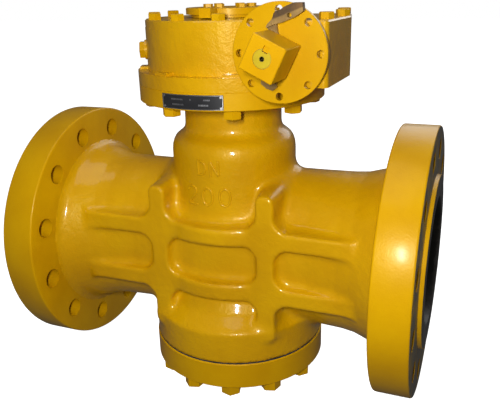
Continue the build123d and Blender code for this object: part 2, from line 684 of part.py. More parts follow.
def make_housing_lid():
    with BuildPart() as housing_lid:
        with BuildSketch(level(RING_TOP_Z)):
            with BuildLine():
                Polyline(*chamber_outline(), close=True)
            make_face()
        extrude(amount=LID_TOP_Z - RING_TOP_Z)
        fillet(housing_lid.edges().filter_by(Axis.Z).sort_by(Axis.X)[-3:], radius=7)
        with BuildSketch(level(RING_TOP_Z)):
            Circle(LID_R)
        extrude(amount=LID_TOP_Z - RING_TOP_Z)
        chamfer(housing_lid.faces().sort_by(Axis.Z)[-1].edges(), length=2)
        with BuildSketch(level(RING_TOP_Z)):
            Circle(JOURNAL_BORE_R)
            with Locations(*lid_screw_points()):
                Circle(LID_SCREW_R + 0.5)
        extrude(amount=LID_TOP_Z - RING_TOP_Z, mode=Mode.SUBTRACT)
        # clearance trough over the worm
        with BuildSketch(across_worm(TUNNEL_REAR_Y)):
            Circle(TUNNEL_R)
        extrude(amount=TUNNEL_REAR_Y - TUNNEL_FRONT_Y, mode=Mode.SUBTRACT)
        with BuildSketch(across_worm(TUNNEL_FRONT_Y)):
            Circle(FRONT_BEARING_R)
        extrude(amount=TUNNEL_FRONT_Y - CHAMBER_FRONT_Y, mode=Mode.SUBTRACT)
    finish(housing_lid, "housing_lid")


def make_lid_screws():
    with BuildPart() as lid_screws:
        with BuildSketch(level(LID_TOP_Z)):
            with Locations(*lid_screw_points()):
                RegularPolygon(LID_SCREW_FLATS / 2, 6, major_radius=False)
        extrude(amount=LID_SCREW_HEAD)
        chamfer(lid_screws.faces().group_by(Axis.Z)[-1].edges(), length=1)
        with BuildSketch(level(LID_TOP_Z)):
            with Locations(*lid_screw_points()):
                Circle(LID_SCREW_R)
        extrude(amount=-(LID_TOP_Z - RING_TOP_Z) - 12)
    finish(lid_screws, "lid_screws")


def make_side_plug():
    with BuildPart() as side_plug:
        with BuildSketch(side_plug_plane(RING_INNER_R + 1)):
            Circle(8)
        extrude(amount=RING_R - RING_INNER_R - 1 + 3)
        with BuildSketch(side_plug_plane(RING_R + 3)):
            RegularPolygon(12, 6, major_radius=False)
        extrude(amount=8)
        end = side_plug.faces().sort_by_distance((STEM_X, 0, SIDE_PLUG_Z))[-1]
        chamfer(end.edges(), length=1)
    finish(side_plug, "side_plug")


# ---------------------------------------------------------------- worm drive
def make_worm_wheel():
    low = WORM_Z - WHEEL_FACE / 2
    with BuildPart() as worm_wheel:
        with BuildSketch(level(low)):
            Circle(WHEEL_TIP_R)
        extrude(amount=WHEEL_FACE)
        # recessed web on both sides
        for start, way in ((low, 1), (low + WHEEL_FACE, -1)):
            with BuildSketch(level(start)):
                Circle(WHEEL_ROOT_R - 10)
                Circle(WHEEL_HUB_R, mode=Mode.SUBTRACT)
            extrude(amount=way * 7, mode=Mode.SUBTRACT)
        with BuildSketch(level(HOUSING_FLANGE_TOP_Z + 3.3)):
            Circle(WHEEL_HUB_R)
        extrude(amount=RING_TOP_Z - HOUSING_FLANGE_TOP_Z - 6.6)
        with BuildSketch(level(PLATE_TOP_Z + 1)):
            Circle(WHEEL_JOURNAL_R)
        extrude(amount=LID_TOP_Z - PLATE_TOP_Z - 1)
        with BuildSketch(level(PLATE_TOP_Z + 1)):
            Circle(STEM_R)
            with Locations((STEM_R, 0)):
                Rectangle(11, 14)
        extrude(amount=LID_TOP_Z - PLATE_TOP_Z - 1, mode=Mode.SUBTRACT)
        with BuildSketch(level(LID_TOP_Z)):
            with PolarLocations(33.5, 6, start_angle=25):
                Circle(3)
        extrude(amount=-14, mode=Mode.SUBTRACT)
        # tooth spaces, tilted to the worm's lead angle
        lead_slope = WORM_LEAD / (2 * math.pi * WORM_PITCH_R)
        space_plane = Plane(
            origin=(STEM_X, -lead_slope * WHEEL_FACE, WORM_Z - WHEEL_FACE), x_dir=(1, 0, 0),
            z_dir=(0, lead_slope, 1))
        half = WORM_LEAD / 4 + THREAD_THINNING + 0.1
        with BuildSketch(space_plane, mode=Mode.PRIVATE) as space:
            with BuildLine():
                Polyline(
                    (WHEEL_ROOT_R, half - 2.2), (WHEEL_PITCH_R, half), (WHEEL_TIP_R + 1, half + 2.9),
                    (WHEEL_TIP_R + 1, -half - 2.9), (WHEEL_PITCH_R, -half), (WHEEL_ROOT_R, -half + 2.2),
                    close=True)
            make_face()
        cutter = extrude(space.sketch, amount=2 * WHEEL_FACE, mode=Mode.PRIVATE)
        for index in range(WHEEL_TEETH):
            add(cutter.rotate(STEM_AXIS, index * 360 / WHEEL_TEETH), mode=Mode.SUBTRACT)
    finish(worm_wheel, "worm_wheel")


def make_worm_shaft():
    half_run = WORM_TURNS * WORM_LEAD / 2
    flank = math.tan(math.radians(20))
    half = WORM_LEAD / 4 - THREAD_THINNING
    dip = WORM_PITCH_R - WORM_ROOT_R + 0.6
    keyway_side = 90 + BLOCK_TILT
    # drawn upright about its own axis, outer end up, then laid along the worm tunnel
    with BuildPart() as worm_shaft:
        with BuildLine():
            Helix(pitch=WORM_LEAD, height=2 * half_run, radius=WORM_PITCH_R, center=(0, 0, -half_run))
        with BuildSketch(Plane(origin=(0, 0, -half_run), x_dir=(1, 0, 0), z_dir=(0, -1, 0))):
            with BuildLine():
                Polyline(
                    (WORM_PITCH_R - dip, half + dip * flank), (WORM_OUTER_R, half - MODULE * flank),
                    (WORM_OUTER_R, -half + MODULE * flank), (WORM_PITCH_R - dip, -half - dip * flank),
                    close=True)
            make_face()
        sweep(is_frenet=True)
        with BuildSketch(Plane.XY.offset(-half_run - 1)):
            Circle(WORM_ROOT_R)
        extrude(amount=2 * half_run + 2)
        with BuildSketch(Plane.XY.offset(-half_run)):
            Circle(REAR_JOURNAL_R)
        extrude(amount=-(REAR_JOURNAL_END_Y - half_run))
        with BuildSketch(Plane.XY.offset(half_run)):
            Circle(SHAFT_R)
        extrude(amount=-DISC_FRONT_Y - half_run - 4)
        with BuildSketch(Plane.XY.offset(-DISC_FRONT_Y - 4)):
            Circle(SHAFT_END_R)
        extrude(amount=DISC_FRONT_Y + 4 - BLOCK_FRONT_Y)
        chamfer(worm_shaft.faces().sort_by(Axis.Z)[-1].edges(), length=0.8)
        # keyway under the square block and the centre drilling
        with BuildSketch(Plane.XY.offset(-BLOCK_FRONT_Y)):
            with PolarLocations(SHAFT_END_R, 1, start_angle=180 + keyway_side):
                Rectangle(8, KEY_W)
        extrude(amount=-50, mode=Mode.SUBTRACT)
        with BuildSketch(Plane.XY.offset(-BLOCK_FRONT_Y)):
            Circle(2.6)
        extrude(amount=-6, mode=Mode.SUBTRACT)
    lie = Plane(origin=(WORM_X, 0, WORM_Z), x_dir=(-1, 0, 0), z_dir=(0, -1, 0))
    worm_shaft.part = worm_shaft.part.moved(lie.location)
    finish(worm_shaft, "worm_shaft")


def make_front_bearing():
    with BuildPart() as front_bearing:
        with BuildSketch(across_worm(TUNNEL_FRONT_Y)):
            Circle(FRONT_BEARING_R)
            Circle(SHAFT_R + 0.04, mode=Mode.SUBTRACT)
        extrude(amount=16)
        with BuildSketch(across_worm(TUNNEL_FRONT_Y - 16)):
            Circle(FRONT_BEARING_R - 5)
            Circle(SHAFT_R + 5, mode=Mode.SUBTRACT)
        extrude(amount=-1.5, mode=Mode.SUBTRACT)
    finish(front_bearing, "front_bearing")


def make_rear_bearing():
    with BuildPart() as rear_bearing:
        with BuildSketch(across_worm(REAR_JOURNAL_END_Y - 4)):
            Circle(REAR_BEARING_R)
            Circle(REAR_JOURNAL_R + 0.04, mode=Mode.SUBTRACT)
        extrude(amount=15)
        with BuildSketch(across_worm(REAR_JOURNAL_END_Y - 4)):
            Circle(REAR_BEARING_R - 4)
            Circle(REAR_JOURNAL_R + 4, mode=Mode.SUBTRACT)
        extrude(amount=1.5, mode=Mode.SUBTRACT)
    finish(rear_bearing, "rear_bearing")


def make_rear_end_plug():
    with BuildPart() as rear_end_plug:
        with BuildSketch(across_worm(CHAMBER_REAR_Y + 2)):
            Circle(REAR_BEARING_R)
        extrude(amount=12)
        chamfer(rear_end_plug.faces().sort_by(Axis.Y)[-1].edges(), length=1)
        with BuildSketch(across_worm(CHAMBER_REAR_Y + 2)):
            RegularPolygon(7, 6, major_radius=False)
        extrude(amount=7, mode=Mode.SUBTRACT)
    finish(rear_end_plug, "rear_end_plug")


def make_bearing_cover():
    rear_of_disc = DISC_FRONT_Y + DISC_T
    with BuildPart() as bearing_cover:
        with BuildSketch(across_worm(TUNNEL_FRONT_Y - 16)):
            Circle(FRONT_BEARING_R - 0.2)
        extrude(amount=TUNNEL_FRONT_Y - 16 - CHAMBER_FRONT_Y)
        with BuildSketch(across_worm(CHAMBER_FRONT_Y)):
            Circle(50)
        extrude(amount=CHAMBER_FRONT_Y - rear_of_disc)
        with BuildSketch(across_worm(rear_of_disc)):
            Circle(30)
        extrude(amount=DISC_T)
        with BuildSketch(across_worm(TUNNEL_FRONT_Y - 16)):
            Circle(SHAFT_R + 0.5)
        extrude(amount=TUNNEL_FRONT_Y - 16 - DISC_FRONT_Y, mode=Mode.SUBTRACT)
        with BuildSketch(across_worm(TUNNEL_FRONT_Y - 16)):
            Circle(SHAFT_R + 6)
        extrude(amount=9, mode=Mode.SUBTRACT)
        with BuildSketch(across_worm(CHAMBER_FRONT_Y)):
            with GridLocations(BEARING_SCREW_X, BEARING_SCREW_Z, 2, 2):
                Circle(3.3)
        extrude(amount=9, mode=Mode.SUBTRACT)
        with BuildSketch(across_worm(rear_of_disc)):
            with GridLocations(BEARING_SCREW_X, BEARING_SCREW_Z, 2, 2):
                Circle(5.6)
        extrude(amount=-6.5, mode=Mode.SUBTRACT)
    finish(bearing_cover, "bearing_cover")


def make_bearing_cover_screws():
    head_top = DISC_FRONT_Y + DISC_T + 0.5
    with BuildPart() as bearing_cover_screws:
        with BuildSketch(across_worm(head_top)):
            with GridLocations(BEARING_SCREW_X, BEARING_SCREW_Z, 2, 2):
                Circle(5)
        extrude(amount=-6)
        with BuildSketch(across_worm(head_top)):
            with GridLocations(BEARING_SCREW_X, BEARING_SCREW_Z, 2, 2):
                RegularPolygon(2.5, 6, major_radius=False)
        extrude(amount=-3, mode=Mode.SUBTRACT)
        with BuildSketch(across_worm(head_top + 6)):
            with GridLocations(BEARING_SCREW_X, BEARING_SCREW_Z, 2, 2):
                Circle(3)
        extrude(amount=-13.5)
    finish(bearing_cover_screws, "bearing_cover_screws")


def make_input_seal():
    with BuildPart() as input_seal:
        with BuildSketch(across_worm(TUNNEL_FRONT_Y - 16)):
            Circle(SHAFT_R + 6)
            Circle(SHAFT_R + 0.05, mode=Mode.SUBTRACT)
        extrude(amount=8)
    finish(input_seal, "input_seal")


def make_lock_disc():
    with BuildPart() as lock_disc:
        with BuildSketch(across_worm(DISC_FRONT_Y)):
            Circle(DISC_R)
        extrude(amount=-DISC_T)
        chamfer(lock_disc.edges().filter_by(GeomType.CIRCLE), length=0.8)
        with BuildSketch(across_worm(DISC_FRONT_Y)):
            Circle(30)
            with PolarLocations(DISC_HOLE_PCD_R, 8):
                Circle(DISC_HOLE_R)
        extrude(amount=-DISC_T, mode=Mode.SUBTRACT)
    finish(lock_disc, "lock_disc")


def make_lock_arm():
    rear = DISC_FRONT_Y - 0.6
    lug_front = rear - ARM_T - ARM_LUG_T
    with BuildPart() as lock_arm:
        # flat plate round the shaft: round end below, narrow neck and lug above
        with BuildSketch(across_worm(rear)):
            Circle(19)
            with BuildLine():
                Polyline(
                    (-21, -12), (-23.6, -38), (-16.3, -44.1), (-7.8, -46.8), (-2.2, -43.1), (-1.9, -36),
                    (5, -16), close=True)
            make_face()
            with BuildLine():
                Polyline((-13, 8), (-12.2, 30), (-13.8, 33), (-1.3, 37.1), (0, 27), (8, 8), close=True)
            make_face()
        extrude(amount=ARM_T)
        # lug that follows the disc's upper edge
        with BuildSketch(across_worm(rear)):
            with BuildLine():
                Polyline(
                    (-13.8, 33), (-7.7, 34.9), (-1.3, 37.1), (9.3, 39.8), (16.4, 42.8), (23.9, 45.4),
                    (30.1, 49.1), (35.3, 52.5), (34.1, 62.7), (23.2, 62.7), (14.3, 59.4), (10.1, 57.6),
                    (6.4, 55), (-1.2, 52.6), (-3.2, 50.5), (-5.6, 43.1), (-11.7, 37.1), close=True)
            make_face()
        extrude(amount=ARM_T + ARM_LUG_T)
        # upper side of the lug slopes back to the plate
        tilt = math.radians(20)
        crest = Plane(
            origin=(WORM_X - 11, lug_front, WORM_Z + 40.5), x_dir=(-math.sin(tilt), 0, math.cos(tilt)),
            z_dir=(math.cos(tilt), 0, math.sin(tilt)))
        with BuildSketch(crest):
            with BuildLine():
                Polyline((0, -1), (0, 0), (ARM_LUG_SLOPE, ARM_LUG_T), (40, ARM_LUG_T), (40, -1), close=True)
            make_face()
        extrude(amount=60, both=True, mode=Mode.SUBTRACT)
        # shaft hole and lock hole
        with BuildSketch(across_worm(rear)):
            Circle(SHAFT_END_R)
            with Locations((17.6, 47.8)):
                Circle(3)
        extrude(amount=ARM_T + ARM_LUG_T, mode=Mode.SUBTRACT)
        # stop pin in the neck
        with BuildSketch(across_worm(rear - ARM_T)):
            with Locations((-6.5, 36.8)):
                Circle(1.8)
        extrude(amount=ARM_LUG_T + 1.5)
    finish(lock_arm, "lock_arm")


def make_square_block():
    rear = DISC_FRONT_Y - 0.6 - ARM_T
    with BuildPart() as square_block:
        with BuildSketch(block_plane(rear)):
            Rectangle(BLOCK_SIDE, BLOCK_SIDE)
        extrude(amount=rear - BLOCK_FRONT_Y)
        chamfer(square_block.edges(), length=1.2)
        with BuildSketch(block_plane(rear)):
            Circle(SHAFT_END_R)
            with Locations((0, SHAFT_END_R)):
                Rectangle(KEY_W, 8)
        extrude(amount=rear - BLOCK_FRONT_Y, mode=Mode.SUBTRACT)
    finish(square_block, "square_block")


def make_block_key():
    with BuildPart() as block_key:
        with BuildSketch(block_plane(BLOCK_FRONT_Y + 4)):
            with Locations((0, SHAFT_END_R)):
                Rectangle(KEY_W, 7.6)
        extrude(amount=-42)
    finish(block_key, "block_key")


def make_thrust_washers():
    with BuildPart() as wheel_thrust_washers:
        for bottom in (HOUSING_FLANGE_TOP_Z, RING_TOP_Z - 3):
            with BuildSketch(level(bottom)):
                Circle(WHEEL_HUB_R)
                Circle(WHEEL_JOURNAL_R + 0.4, mode=Mode.SUBTRACT)
            extrude(amount=3)
    finish(wheel_thrust_washers, "wheel_thrust_washers")


# ---------------------------------------------------------------- indicator
def make_indicator_cap():
    with BuildPart() as indicator_cap:
        with BuildSketch(level(LID_TOP_Z + 0.5)):
            Circle(CAP_NECK_R)
        extrude(amount=CAP_BOTTOM_Z - LID_TOP_Z - 0.5)
        with BuildSketch(level(CAP_BOTTOM_Z)):
            Circle(CAP_R)
        extrude(amount=CAP_TOP_Z - CAP_BOTTOM_Z)
        chamfer(indicator_cap.faces().sort_by(Axis.Z)[-1].edges(), length=1)
        with BuildSketch(level(LID_TOP_Z + 2)):
            with Locations((0, -(CAP_NECK_R + POINTER_REACH) / 2)):
                Rectangle(POINTER_W, POINTER_REACH - CAP_NECK_R)
        extrude(amount=CAP_TOP_Z + 1 - LID_TOP_Z - 2)
        with BuildSketch(level(LID_TOP_Z)):
            Circle(WHEEL_JOURNAL_R)
        extrude(amount=0.5)
        with BuildSketch(level(LID_TOP_Z)):
            with PolarLocations(33.5, 6, start_angle=25):
                Circle(3.3)
        extrude(amount=CAP_TOP_Z - LID_TOP_Z, mode=Mode.SUBTRACT)
    finish(indicator_cap, "indicator_cap")


def make_cap_screws():
    with BuildPart() as cap_screws:
        with BuildSketch(level(CAP_TOP_Z)):
            with PolarLocations(33.5, 6, start_angle=25):
                RegularPolygon(6.5, 6, major_radius=False)
        extrude(amount=5)
        with BuildSketch(level(CAP_TOP_Z)):
            with PolarLocations(33.5, 6, start_angle=25):
                Circle(3)
        extrude(amount=-(CAP_TOP_Z - LID_TOP_Z) - 12)
    finish(cap_screws, "cap_screws")


PIECES = (
    make_valve_body, make_plug, make_stem, make_stem_key, make_stem_thrust_washer, make_packing_rings,
    make_gland, make_gland_screws, make_bottom_cover, make_cover_gasket, make_cover_studs, make_cover_nuts,
    make_adjusting_screw, make_adjuster_locknut, make_thrust_pad, make_mounting_plate, make_neck_screws,
    make_mounting_bolts, make_nameplate, make_nameplate_rivets, make_gear_housing, make_housing_lid,
    make_lid_screws, make_side_plug, make_worm_wheel, make_worm_shaft, make_front_bearing,
    make_rear_bearing, make_rear_end_plug, make_bearing_cover, make_bearing_cover_screws, make_input_seal,
    make_lock_disc, make_lock_arm, make_square_block, make_block_key, make_thrust_washers,
    make_indicator_cap, make_cap_screws)

for make_piece in PIECES:
    make_piece()
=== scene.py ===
import json
import math

import bmesh
import bpy
import numpy as np
from mathutils import Matrix, Vector


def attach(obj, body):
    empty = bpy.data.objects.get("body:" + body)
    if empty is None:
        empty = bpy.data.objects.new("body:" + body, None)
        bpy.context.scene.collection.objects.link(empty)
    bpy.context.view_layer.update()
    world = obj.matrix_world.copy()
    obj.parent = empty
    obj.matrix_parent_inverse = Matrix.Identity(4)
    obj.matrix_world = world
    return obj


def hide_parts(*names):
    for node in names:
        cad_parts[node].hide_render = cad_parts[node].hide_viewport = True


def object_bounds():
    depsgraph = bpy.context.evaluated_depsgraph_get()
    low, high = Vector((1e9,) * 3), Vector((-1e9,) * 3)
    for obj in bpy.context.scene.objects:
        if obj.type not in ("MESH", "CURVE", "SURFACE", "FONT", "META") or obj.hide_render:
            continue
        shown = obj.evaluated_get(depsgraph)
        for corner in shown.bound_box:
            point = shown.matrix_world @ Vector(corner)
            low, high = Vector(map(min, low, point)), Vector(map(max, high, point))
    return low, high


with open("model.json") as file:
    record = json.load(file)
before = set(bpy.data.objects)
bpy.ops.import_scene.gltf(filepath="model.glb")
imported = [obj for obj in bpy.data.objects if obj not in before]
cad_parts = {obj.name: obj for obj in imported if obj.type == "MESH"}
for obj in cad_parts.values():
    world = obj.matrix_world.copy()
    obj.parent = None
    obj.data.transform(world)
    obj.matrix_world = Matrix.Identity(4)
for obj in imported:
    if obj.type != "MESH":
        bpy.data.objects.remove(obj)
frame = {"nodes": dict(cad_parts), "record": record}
cad_low, cad_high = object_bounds()

# metres, with the inlet face at x 0 and the bore on the x axis
STEM_X = 0.330  # stem axis
WORM_X = 0.460
WORM_Z = 0.327
PLATE_FACE_R = 0.1478  # outer face of the curved nameplate
FACE_DEPTH = 0.062  # end flange with its raised face
PATTERNS = {m["name"]: m["dims"] for m in frame["record"]["mounts"] if m["kind"] == "bolt_pattern"}


# ---------------------------------------------------------------- camera
def make_camera():
    """The photograph's viewpoint, solved from the standard flange sizes."""
    yaw, pitch, roll = math.radians(21.82), math.radians(19.17), math.radians(-1.41)
    forward = Vector((-math.sin(yaw) * math.cos(pitch), math.cos(yaw) * math.cos(pitch), -math.sin(pitch)))
    right = Vector((math.cos(yaw), math.sin(yaw), 0))
    up = right.cross(forward)
    side = right * math.cos(roll) + up * math.sin(roll)
    top = up * math.cos(roll) - right * math.sin(roll)
    data = bpy.data.cameras.new("camera")
    data.sensor_fit = "HORIZONTAL"
    data.sensor_width = 36.0
    data.lens = 44.31
    data.clip_start = 0.05
    camera = bpy.data.objects.new("camera", data)
    bpy.context.scene.collection.objects.link(camera)
    turn = Matrix((side, top, -forward)).transposed()
    place = Vector((STEM_X + 0.3918, -0.9157, 0.4058))
    camera.matrix_world = Matrix.Translation(place) @ turn.to_4x4()
    bpy.context.scene.camera = camera


# ---------------------------------------------------------------- node helpers
# sockets of the colour Mix node
MIX_A, MIX_B, MIX_RESULT = 6, 7, 2


class Nodes:
    """A short way to build one material's node tree."""

    def __init__(self, name):
        self.material = bpy.data.materials.new(name)
        self.material.use_nodes = True
        self.tree = self.material.node_tree
        self.tree.nodes.clear()
        self.out = self.add("ShaderNodeOutputMaterial")
        self.shader = self.add("ShaderNodeBsdfPrincipled")
        self.link(self.shader, "BSDF", self.out, "Surface")
        self.place = self.add("ShaderNodeTexCoord")

    def add(self, kind, **values):
        node = self.tree.nodes.new(kind)
        for key, value in values.items():
            if hasattr(node, key):
                setattr(node, key, value)
            else:
                node.inputs[key.replace("_", " ")].default_value = value
        return node

    def link(self, a, out, b, into):
        self.tree.links.new(a.outputs[out], b.inputs[into])

    def noise(self, scale, detail=3.0, roughness=0.55):
        node = self.add("ShaderNodeTexNoise", Scale=scale, Detail=detail, Roughness=roughness)
        self.link(self.place, "Object", node, "Vector")
        return node

    def ramp(self, source, out, stops):
        node = self.add("ShaderNodeValToRGB")
        self.link(source, out, node, "Fac")
        ramp = node.color_ramp
        while len(ramp.elements) < len(stops):
            ramp.elements.new(0.5)
        for element, (position, colour) in zip(ramp.elements, stops):
            element.position = position
            element.color = (*colour, 1.0)
        return node

    def mix(self, a, a_out, b, b_out, factor, factor_out="Fac", mode="MIX"):
        node = self.add("ShaderNodeMix", data_type="RGBA", blend_type=mode)
        if isinstance(factor, (int, float)):
            node.inputs["Factor"].default_value = factor
        else:
            self.tree.links.new(factor.outputs[factor_out], node.inputs["Factor"])
        self.tree.links.new(a.outputs[a_out], node.inputs[MIX_A])
        self.tree.links.new(b.outputs[b_out], node.inputs[MIX_B])
        return node

    def bump(self, source, out, strength, distance, below=None):
        node = self.add("ShaderNodeBump", Strength=strength, Distance=distance)
        self.link(source, out, node, "Height")
        if below is not None:
            self.link(below, "Normal", node, "Normal")
        return node


def paint(name, base, dark, light, peel, grain, rough=0.36, coat=0.22, coat_rough=0.08):
    """Thick gloss paint with drifting tone, dark flecks, casting grain and orange peel."""
    n = Nodes(name)
    drift = n.noise(9.0, 4.0)
    tone = n.ramp(drift, "Fac", [(0.3, dark), (0.52, base), (0.75, light)])
    specks = n.noise(420.0, 2.0)
    fleck = n.ramp(specks, "Fac", [(0.66, (1, 1, 1)), (0.78, (0.72, 0.72, 0.72))])
    colour = n.mix(tone, "Color", fleck, "Color", 0.5, mode="MULTIPLY")
    n.link(colour, MIX_RESULT, n.shader, "Base Color")
    gloss = n.noise(24.0, 5.0)
    sheen = n.add("ShaderNodeMapRange", To_Min=rough - 0.06, To_Max=rough + 0.10)
    n.link(gloss, "Fac", sheen, "Value")
    n.link(sheen, "Result", n.shader, "Roughness")
    n.shader.inputs["Specular IOR Level"].default_value = 0.32
    n.shader.inputs["Coat Weight"].default_value = coat
    n.shader.inputs["Coat Roughness"].default_value = coat_rough
    n.shader.inputs["Specular Tint"].default_value = (1.0, 0.80, 0.30, 1.0)
    cast = n.noise(95.0, 3.0)
    skin = n.noise(380.0, 2.0)
    lumps = n.bump(cast, "Fac", grain, 0.0016)
    fine = n.bump(skin, "Fac", peel, 0.0004, below=lumps)
    n.link(fine, "Normal", n.shader, "Normal")
    return n.material


def metal(name, base, dark, rough, brush, metallic=1.0):
    """Machined or blackened steel with fine turning marks and stains."""
    n = Nodes(name)
    stain = n.noise(40.0, 5.0)
    tone = n.ramp(stain, "Fac", [(0.35, dark), (0.6, base)])
    n.link(tone, "Color", n.shader, "Base Color")
    n.shader.inputs["Metallic"].default_value = metallic
    lines = n.noise(900.0, 2.0)
    sheen = n.add("ShaderNodeMapRange", To_Min=rough - 0.08, To_Max=rough + 0.12)
    n.link(stain, "Fac", sheen, "Value")
    n.link(sheen, "Result", n.shader, "Roughness")
    fine = n.bump(lines, "Fac", brush, 0.0002)
    n.link(fine, "Normal", n.shader, "Normal")
    return n.material


def matte(name, base, dark, rough, scale):
    """Rubber or graphite."""
    n = Nodes(name)
    drift = n.noise(scale, 4.0)
    tone = n.ramp(drift, "Fac", [(0.35, dark), (0.65, base)])
    n.link(tone, "Color", n.shader, "Base Color")
    n.shader.inputs["Roughness"].default_value = rough
    fine = n.bump(drift, "Fac", 0.3, 0.0003)
    n.link(fine, "Normal", n.shader, "Normal")
    return n.material


YELLOW = dict(base=(0.61, 0.322, 0.0008), dark=(0.54, 0.270, 0.0006), light=(0.67, 0.372, 0.0010))
CAST_PAINT = paint("cast_paint", peel=0.5, grain=0.7, coat=0.5, coat_rough=0.11, **YELLOW)
SMOOTH_PAINT = paint("smooth_paint", peel=0.3, grain=0.14, rough=0.34, coat=0.10, coat_rough=0.18, **YELLOW)
STEEL = metal("machined_steel", (0.45, 0.43, 0.40), (0.26, 0.24, 0.21), 0.36, 0.3)
DARK_STEEL = metal("dark_steel", (0.26, 0.19, 0.12), (0.10, 0.065, 0.035), 0.42, 0.4)
BRONZE = metal("bronze", (0.62, 0.36, 0.13), (0.45, 0.24, 0.08), 0.33, 0.3)
ALUMINIUM = metal("aluminium", (0.78, 0.78, 0.80), (0.6, 0.6, 0.62), 0.3, 0.2)
RUBBER = matte("rubber", (0.03, 0.03, 0.03), (0.015, 0.015, 0.015), 0.6, 60)
GRAPHITE = matte("graphite", (0.06, 0.06, 0.065), (0.03, 0.03, 0.033), 0.5, 90)
PLATE = matte("plate_black", (0.022, 0.022, 0.024), (0.012, 0.012, 0.013), 0.35, 30)


def worn_face():
    """Flange face beside the raised ring: thin paint over turned steel, rubbed grey in places."""
    n = Nodes("worn_face")
    patch = n.noise(26.0, 6.0, 0.65)
    yellow, dusty, steel = (0.36, 0.215, 0.01), (0.20, 0.17, 0.11), (0.30, 0.29, 0.26)
    rub = n.ramp(patch, "Fac", [(0.40, yellow), (0.52, dusty), (0.70, steel)])
    n.link(rub, "Color", n.shader, "Base Color")
    sheen = n.add("ShaderNodeMapRange", To_Min=0.3, To_Max=0.5)
    n.link(patch, "Fac", sheen, "Value")
    n.link(sheen, "Result", n.shader, "Roughness")
    bare = n.ramp(patch, "Fac", [(0.45, (0, 0, 0)), (0.60, (0.8, 0.8, 0.8))])
    n.link(bare, "Color", n.shader, "Metallic")
    rings = n.add("ShaderNodeTexWave", wave_type="RINGS", rings_direction="X", Scale=160.0, Distortion=0.6)
    n.link(n.place, "Object", rings, "Vector")
    turned = n.bump(rings, "Fac", 0.25, 0.0003)
    n.link(turned, "Normal", n.shader, "Normal")
    return n.material


def arm_metal():
    """Lock arm: tan bare strip below the crest, and a darker brown above it that is painted shade on the slope.
    """
    crest_slope = math.tan(math.radians(20))
    crest_x, crest_z = WORM_X - 0.011, WORM_Z + 0.0405
    n = Nodes("arm_metal")
    stain = n.noise(70.0, 5.0, 0.6)
    tan = n.ramp(stain, "Fac", [(0.35, (0.20, 0.115, 0.030)), (0.65, (0.33, 0.20, 0.055))])
    # painted shade: this darker brown stands in for the shaded upper face above the crest
    brown = n.ramp(stain, "Fac", [(0.35, (0.055, 0.030, 0.009)), (0.65, (0.155, 0.075, 0.017))])
    split = n.add("ShaderNodeSeparateXYZ")
    n.link(n.place, "Object", split, "Vector")
    lean = n.add("ShaderNodeMath", operation="MULTIPLY_ADD")
    n.link(split, "X", lean, 0)
    lean.inputs[1].default_value = -crest_slope
    n.link(split, "Z", lean, 2)
    crest = crest_z - crest_slope * crest_x
    # mask for the painted shade: everything above the sloping crest line
    above = n.add("ShaderNodeMapRange", From_Min=crest - 0.0008, From_Max=crest + 0.0012)
    n.link(lean, 0, above, "Value")
    tone = n.mix(tan, "Color", brown, "Color", above, "Result")
    n.link(tone, MIX_RESULT, n.shader, "Base Color")
    n.shader.inputs["Metallic"].default_value = 0.25
    n.shader.inputs["Roughness"].default_value = 0.45
    grain = n.bump(stain, "Fac", 0.4, 0.0006)
    n.link(grain, "Normal", n.shader, "Normal")
    return n.material


def shaft_metal():
    """Input shaft: bare steel, with its outer end painted over and painted shade darkening its centre hole."""
    painted_to_y, blend, hole_r = -0.2120, 0.0008, 0.0027
    n = Nodes("shaft_metal")
    stain = n.noise(60.0, 4.0)
    steel = n.ramp(stain, "Fac", [(0.35, (0.30, 0.28, 0.24)), (0.65, (0.46, 0.44, 0.41))])
    painted = n.ramp(stain, "Fac", [(0.3, (0.42, 0.30, 0.004)), (0.7, (0.52, 0.38, 0.008))])
    split = n.add("ShaderNodeSeparateXYZ")
    n.link(n.place, "Object", split, "Vector")
    inside = n.add("ShaderNodeMapRange", From_Min=painted_to_y - blend, From_Max=painted_to_y + blend)
    n.link(split, "Y", inside, "Value")
    tone = n.mix(painted, "Color", steel, "Color", inside, "Result")
    flat = n.add("ShaderNodeVectorMath", operation="MULTIPLY")
    n.link(n.place, "Object", flat, 0)
    flat.inputs[1].default_value = (1.0, 0.0, 1.0)
    reach = n.add("ShaderNodeVectorMath", operation="DISTANCE")
    n.link(flat, "Vector", reach, 0)
    reach.inputs[1].default_value = (WORM_X, 0.0, WORM_Z)
    # mask for the painted shade: inside the centre hole's radius
    rim = n.add("ShaderNodeMapRange", From_Min=hole_r, From_Max=hole_r + 0.0009)
    n.link(reach, "Value", rim, "Value")
    # painted shade: near black inside the centre hole, where shadow falls
    hole_shade = n.ramp(stain, "Fac", [(0.3, (0.012, 0.010, 0.006)), (0.7, (0.03, 0.024, 0.012))])
    whole = n.mix(hole_shade, "Color", tone, MIX_RESULT, rim, "Result")
    n.link(whole, MIX_RESULT, n.shader, "Base Color")
    n.link(inside, "Result", n.shader, "Metallic")
    n.shader.inputs["Roughness"].default_value = 0.36
    fine = n.bump(stain, "Fac", 0.2, 0.0004)
    n.link(fine, "Normal", n.shader, "Normal")
    return n.material


def serrated():
    """Raised face: fine concentric grooves in bare steel with an oily tint."""
    n = Nodes("serrated_face")
    stain = n.noise(34.0, 5.0)
    tone = n.ramp(stain, "Fac", [(0.35, (0.045, 0.040, 0.032)), (0.65, (0.16, 0.15, 0.13))])
    n.link(tone, "Color", n.shader, "Base Color")
    n.shader.inputs["Metallic"].default_value = 0.8
    n.shader.inputs["Roughness"].default_value = 0.38
    rings = n.add("ShaderNodeTexWave", wave_type="RINGS", rings_direction="X", Scale=190.0, Distortion=0.0)
    n.link(n.place, "Object", rings, "Vector")
    grooves = n.bump(rings, "Fac", 0.6, 0.0005)
    n.link(grooves, "Normal", n.shader, "Normal")
    return n.material


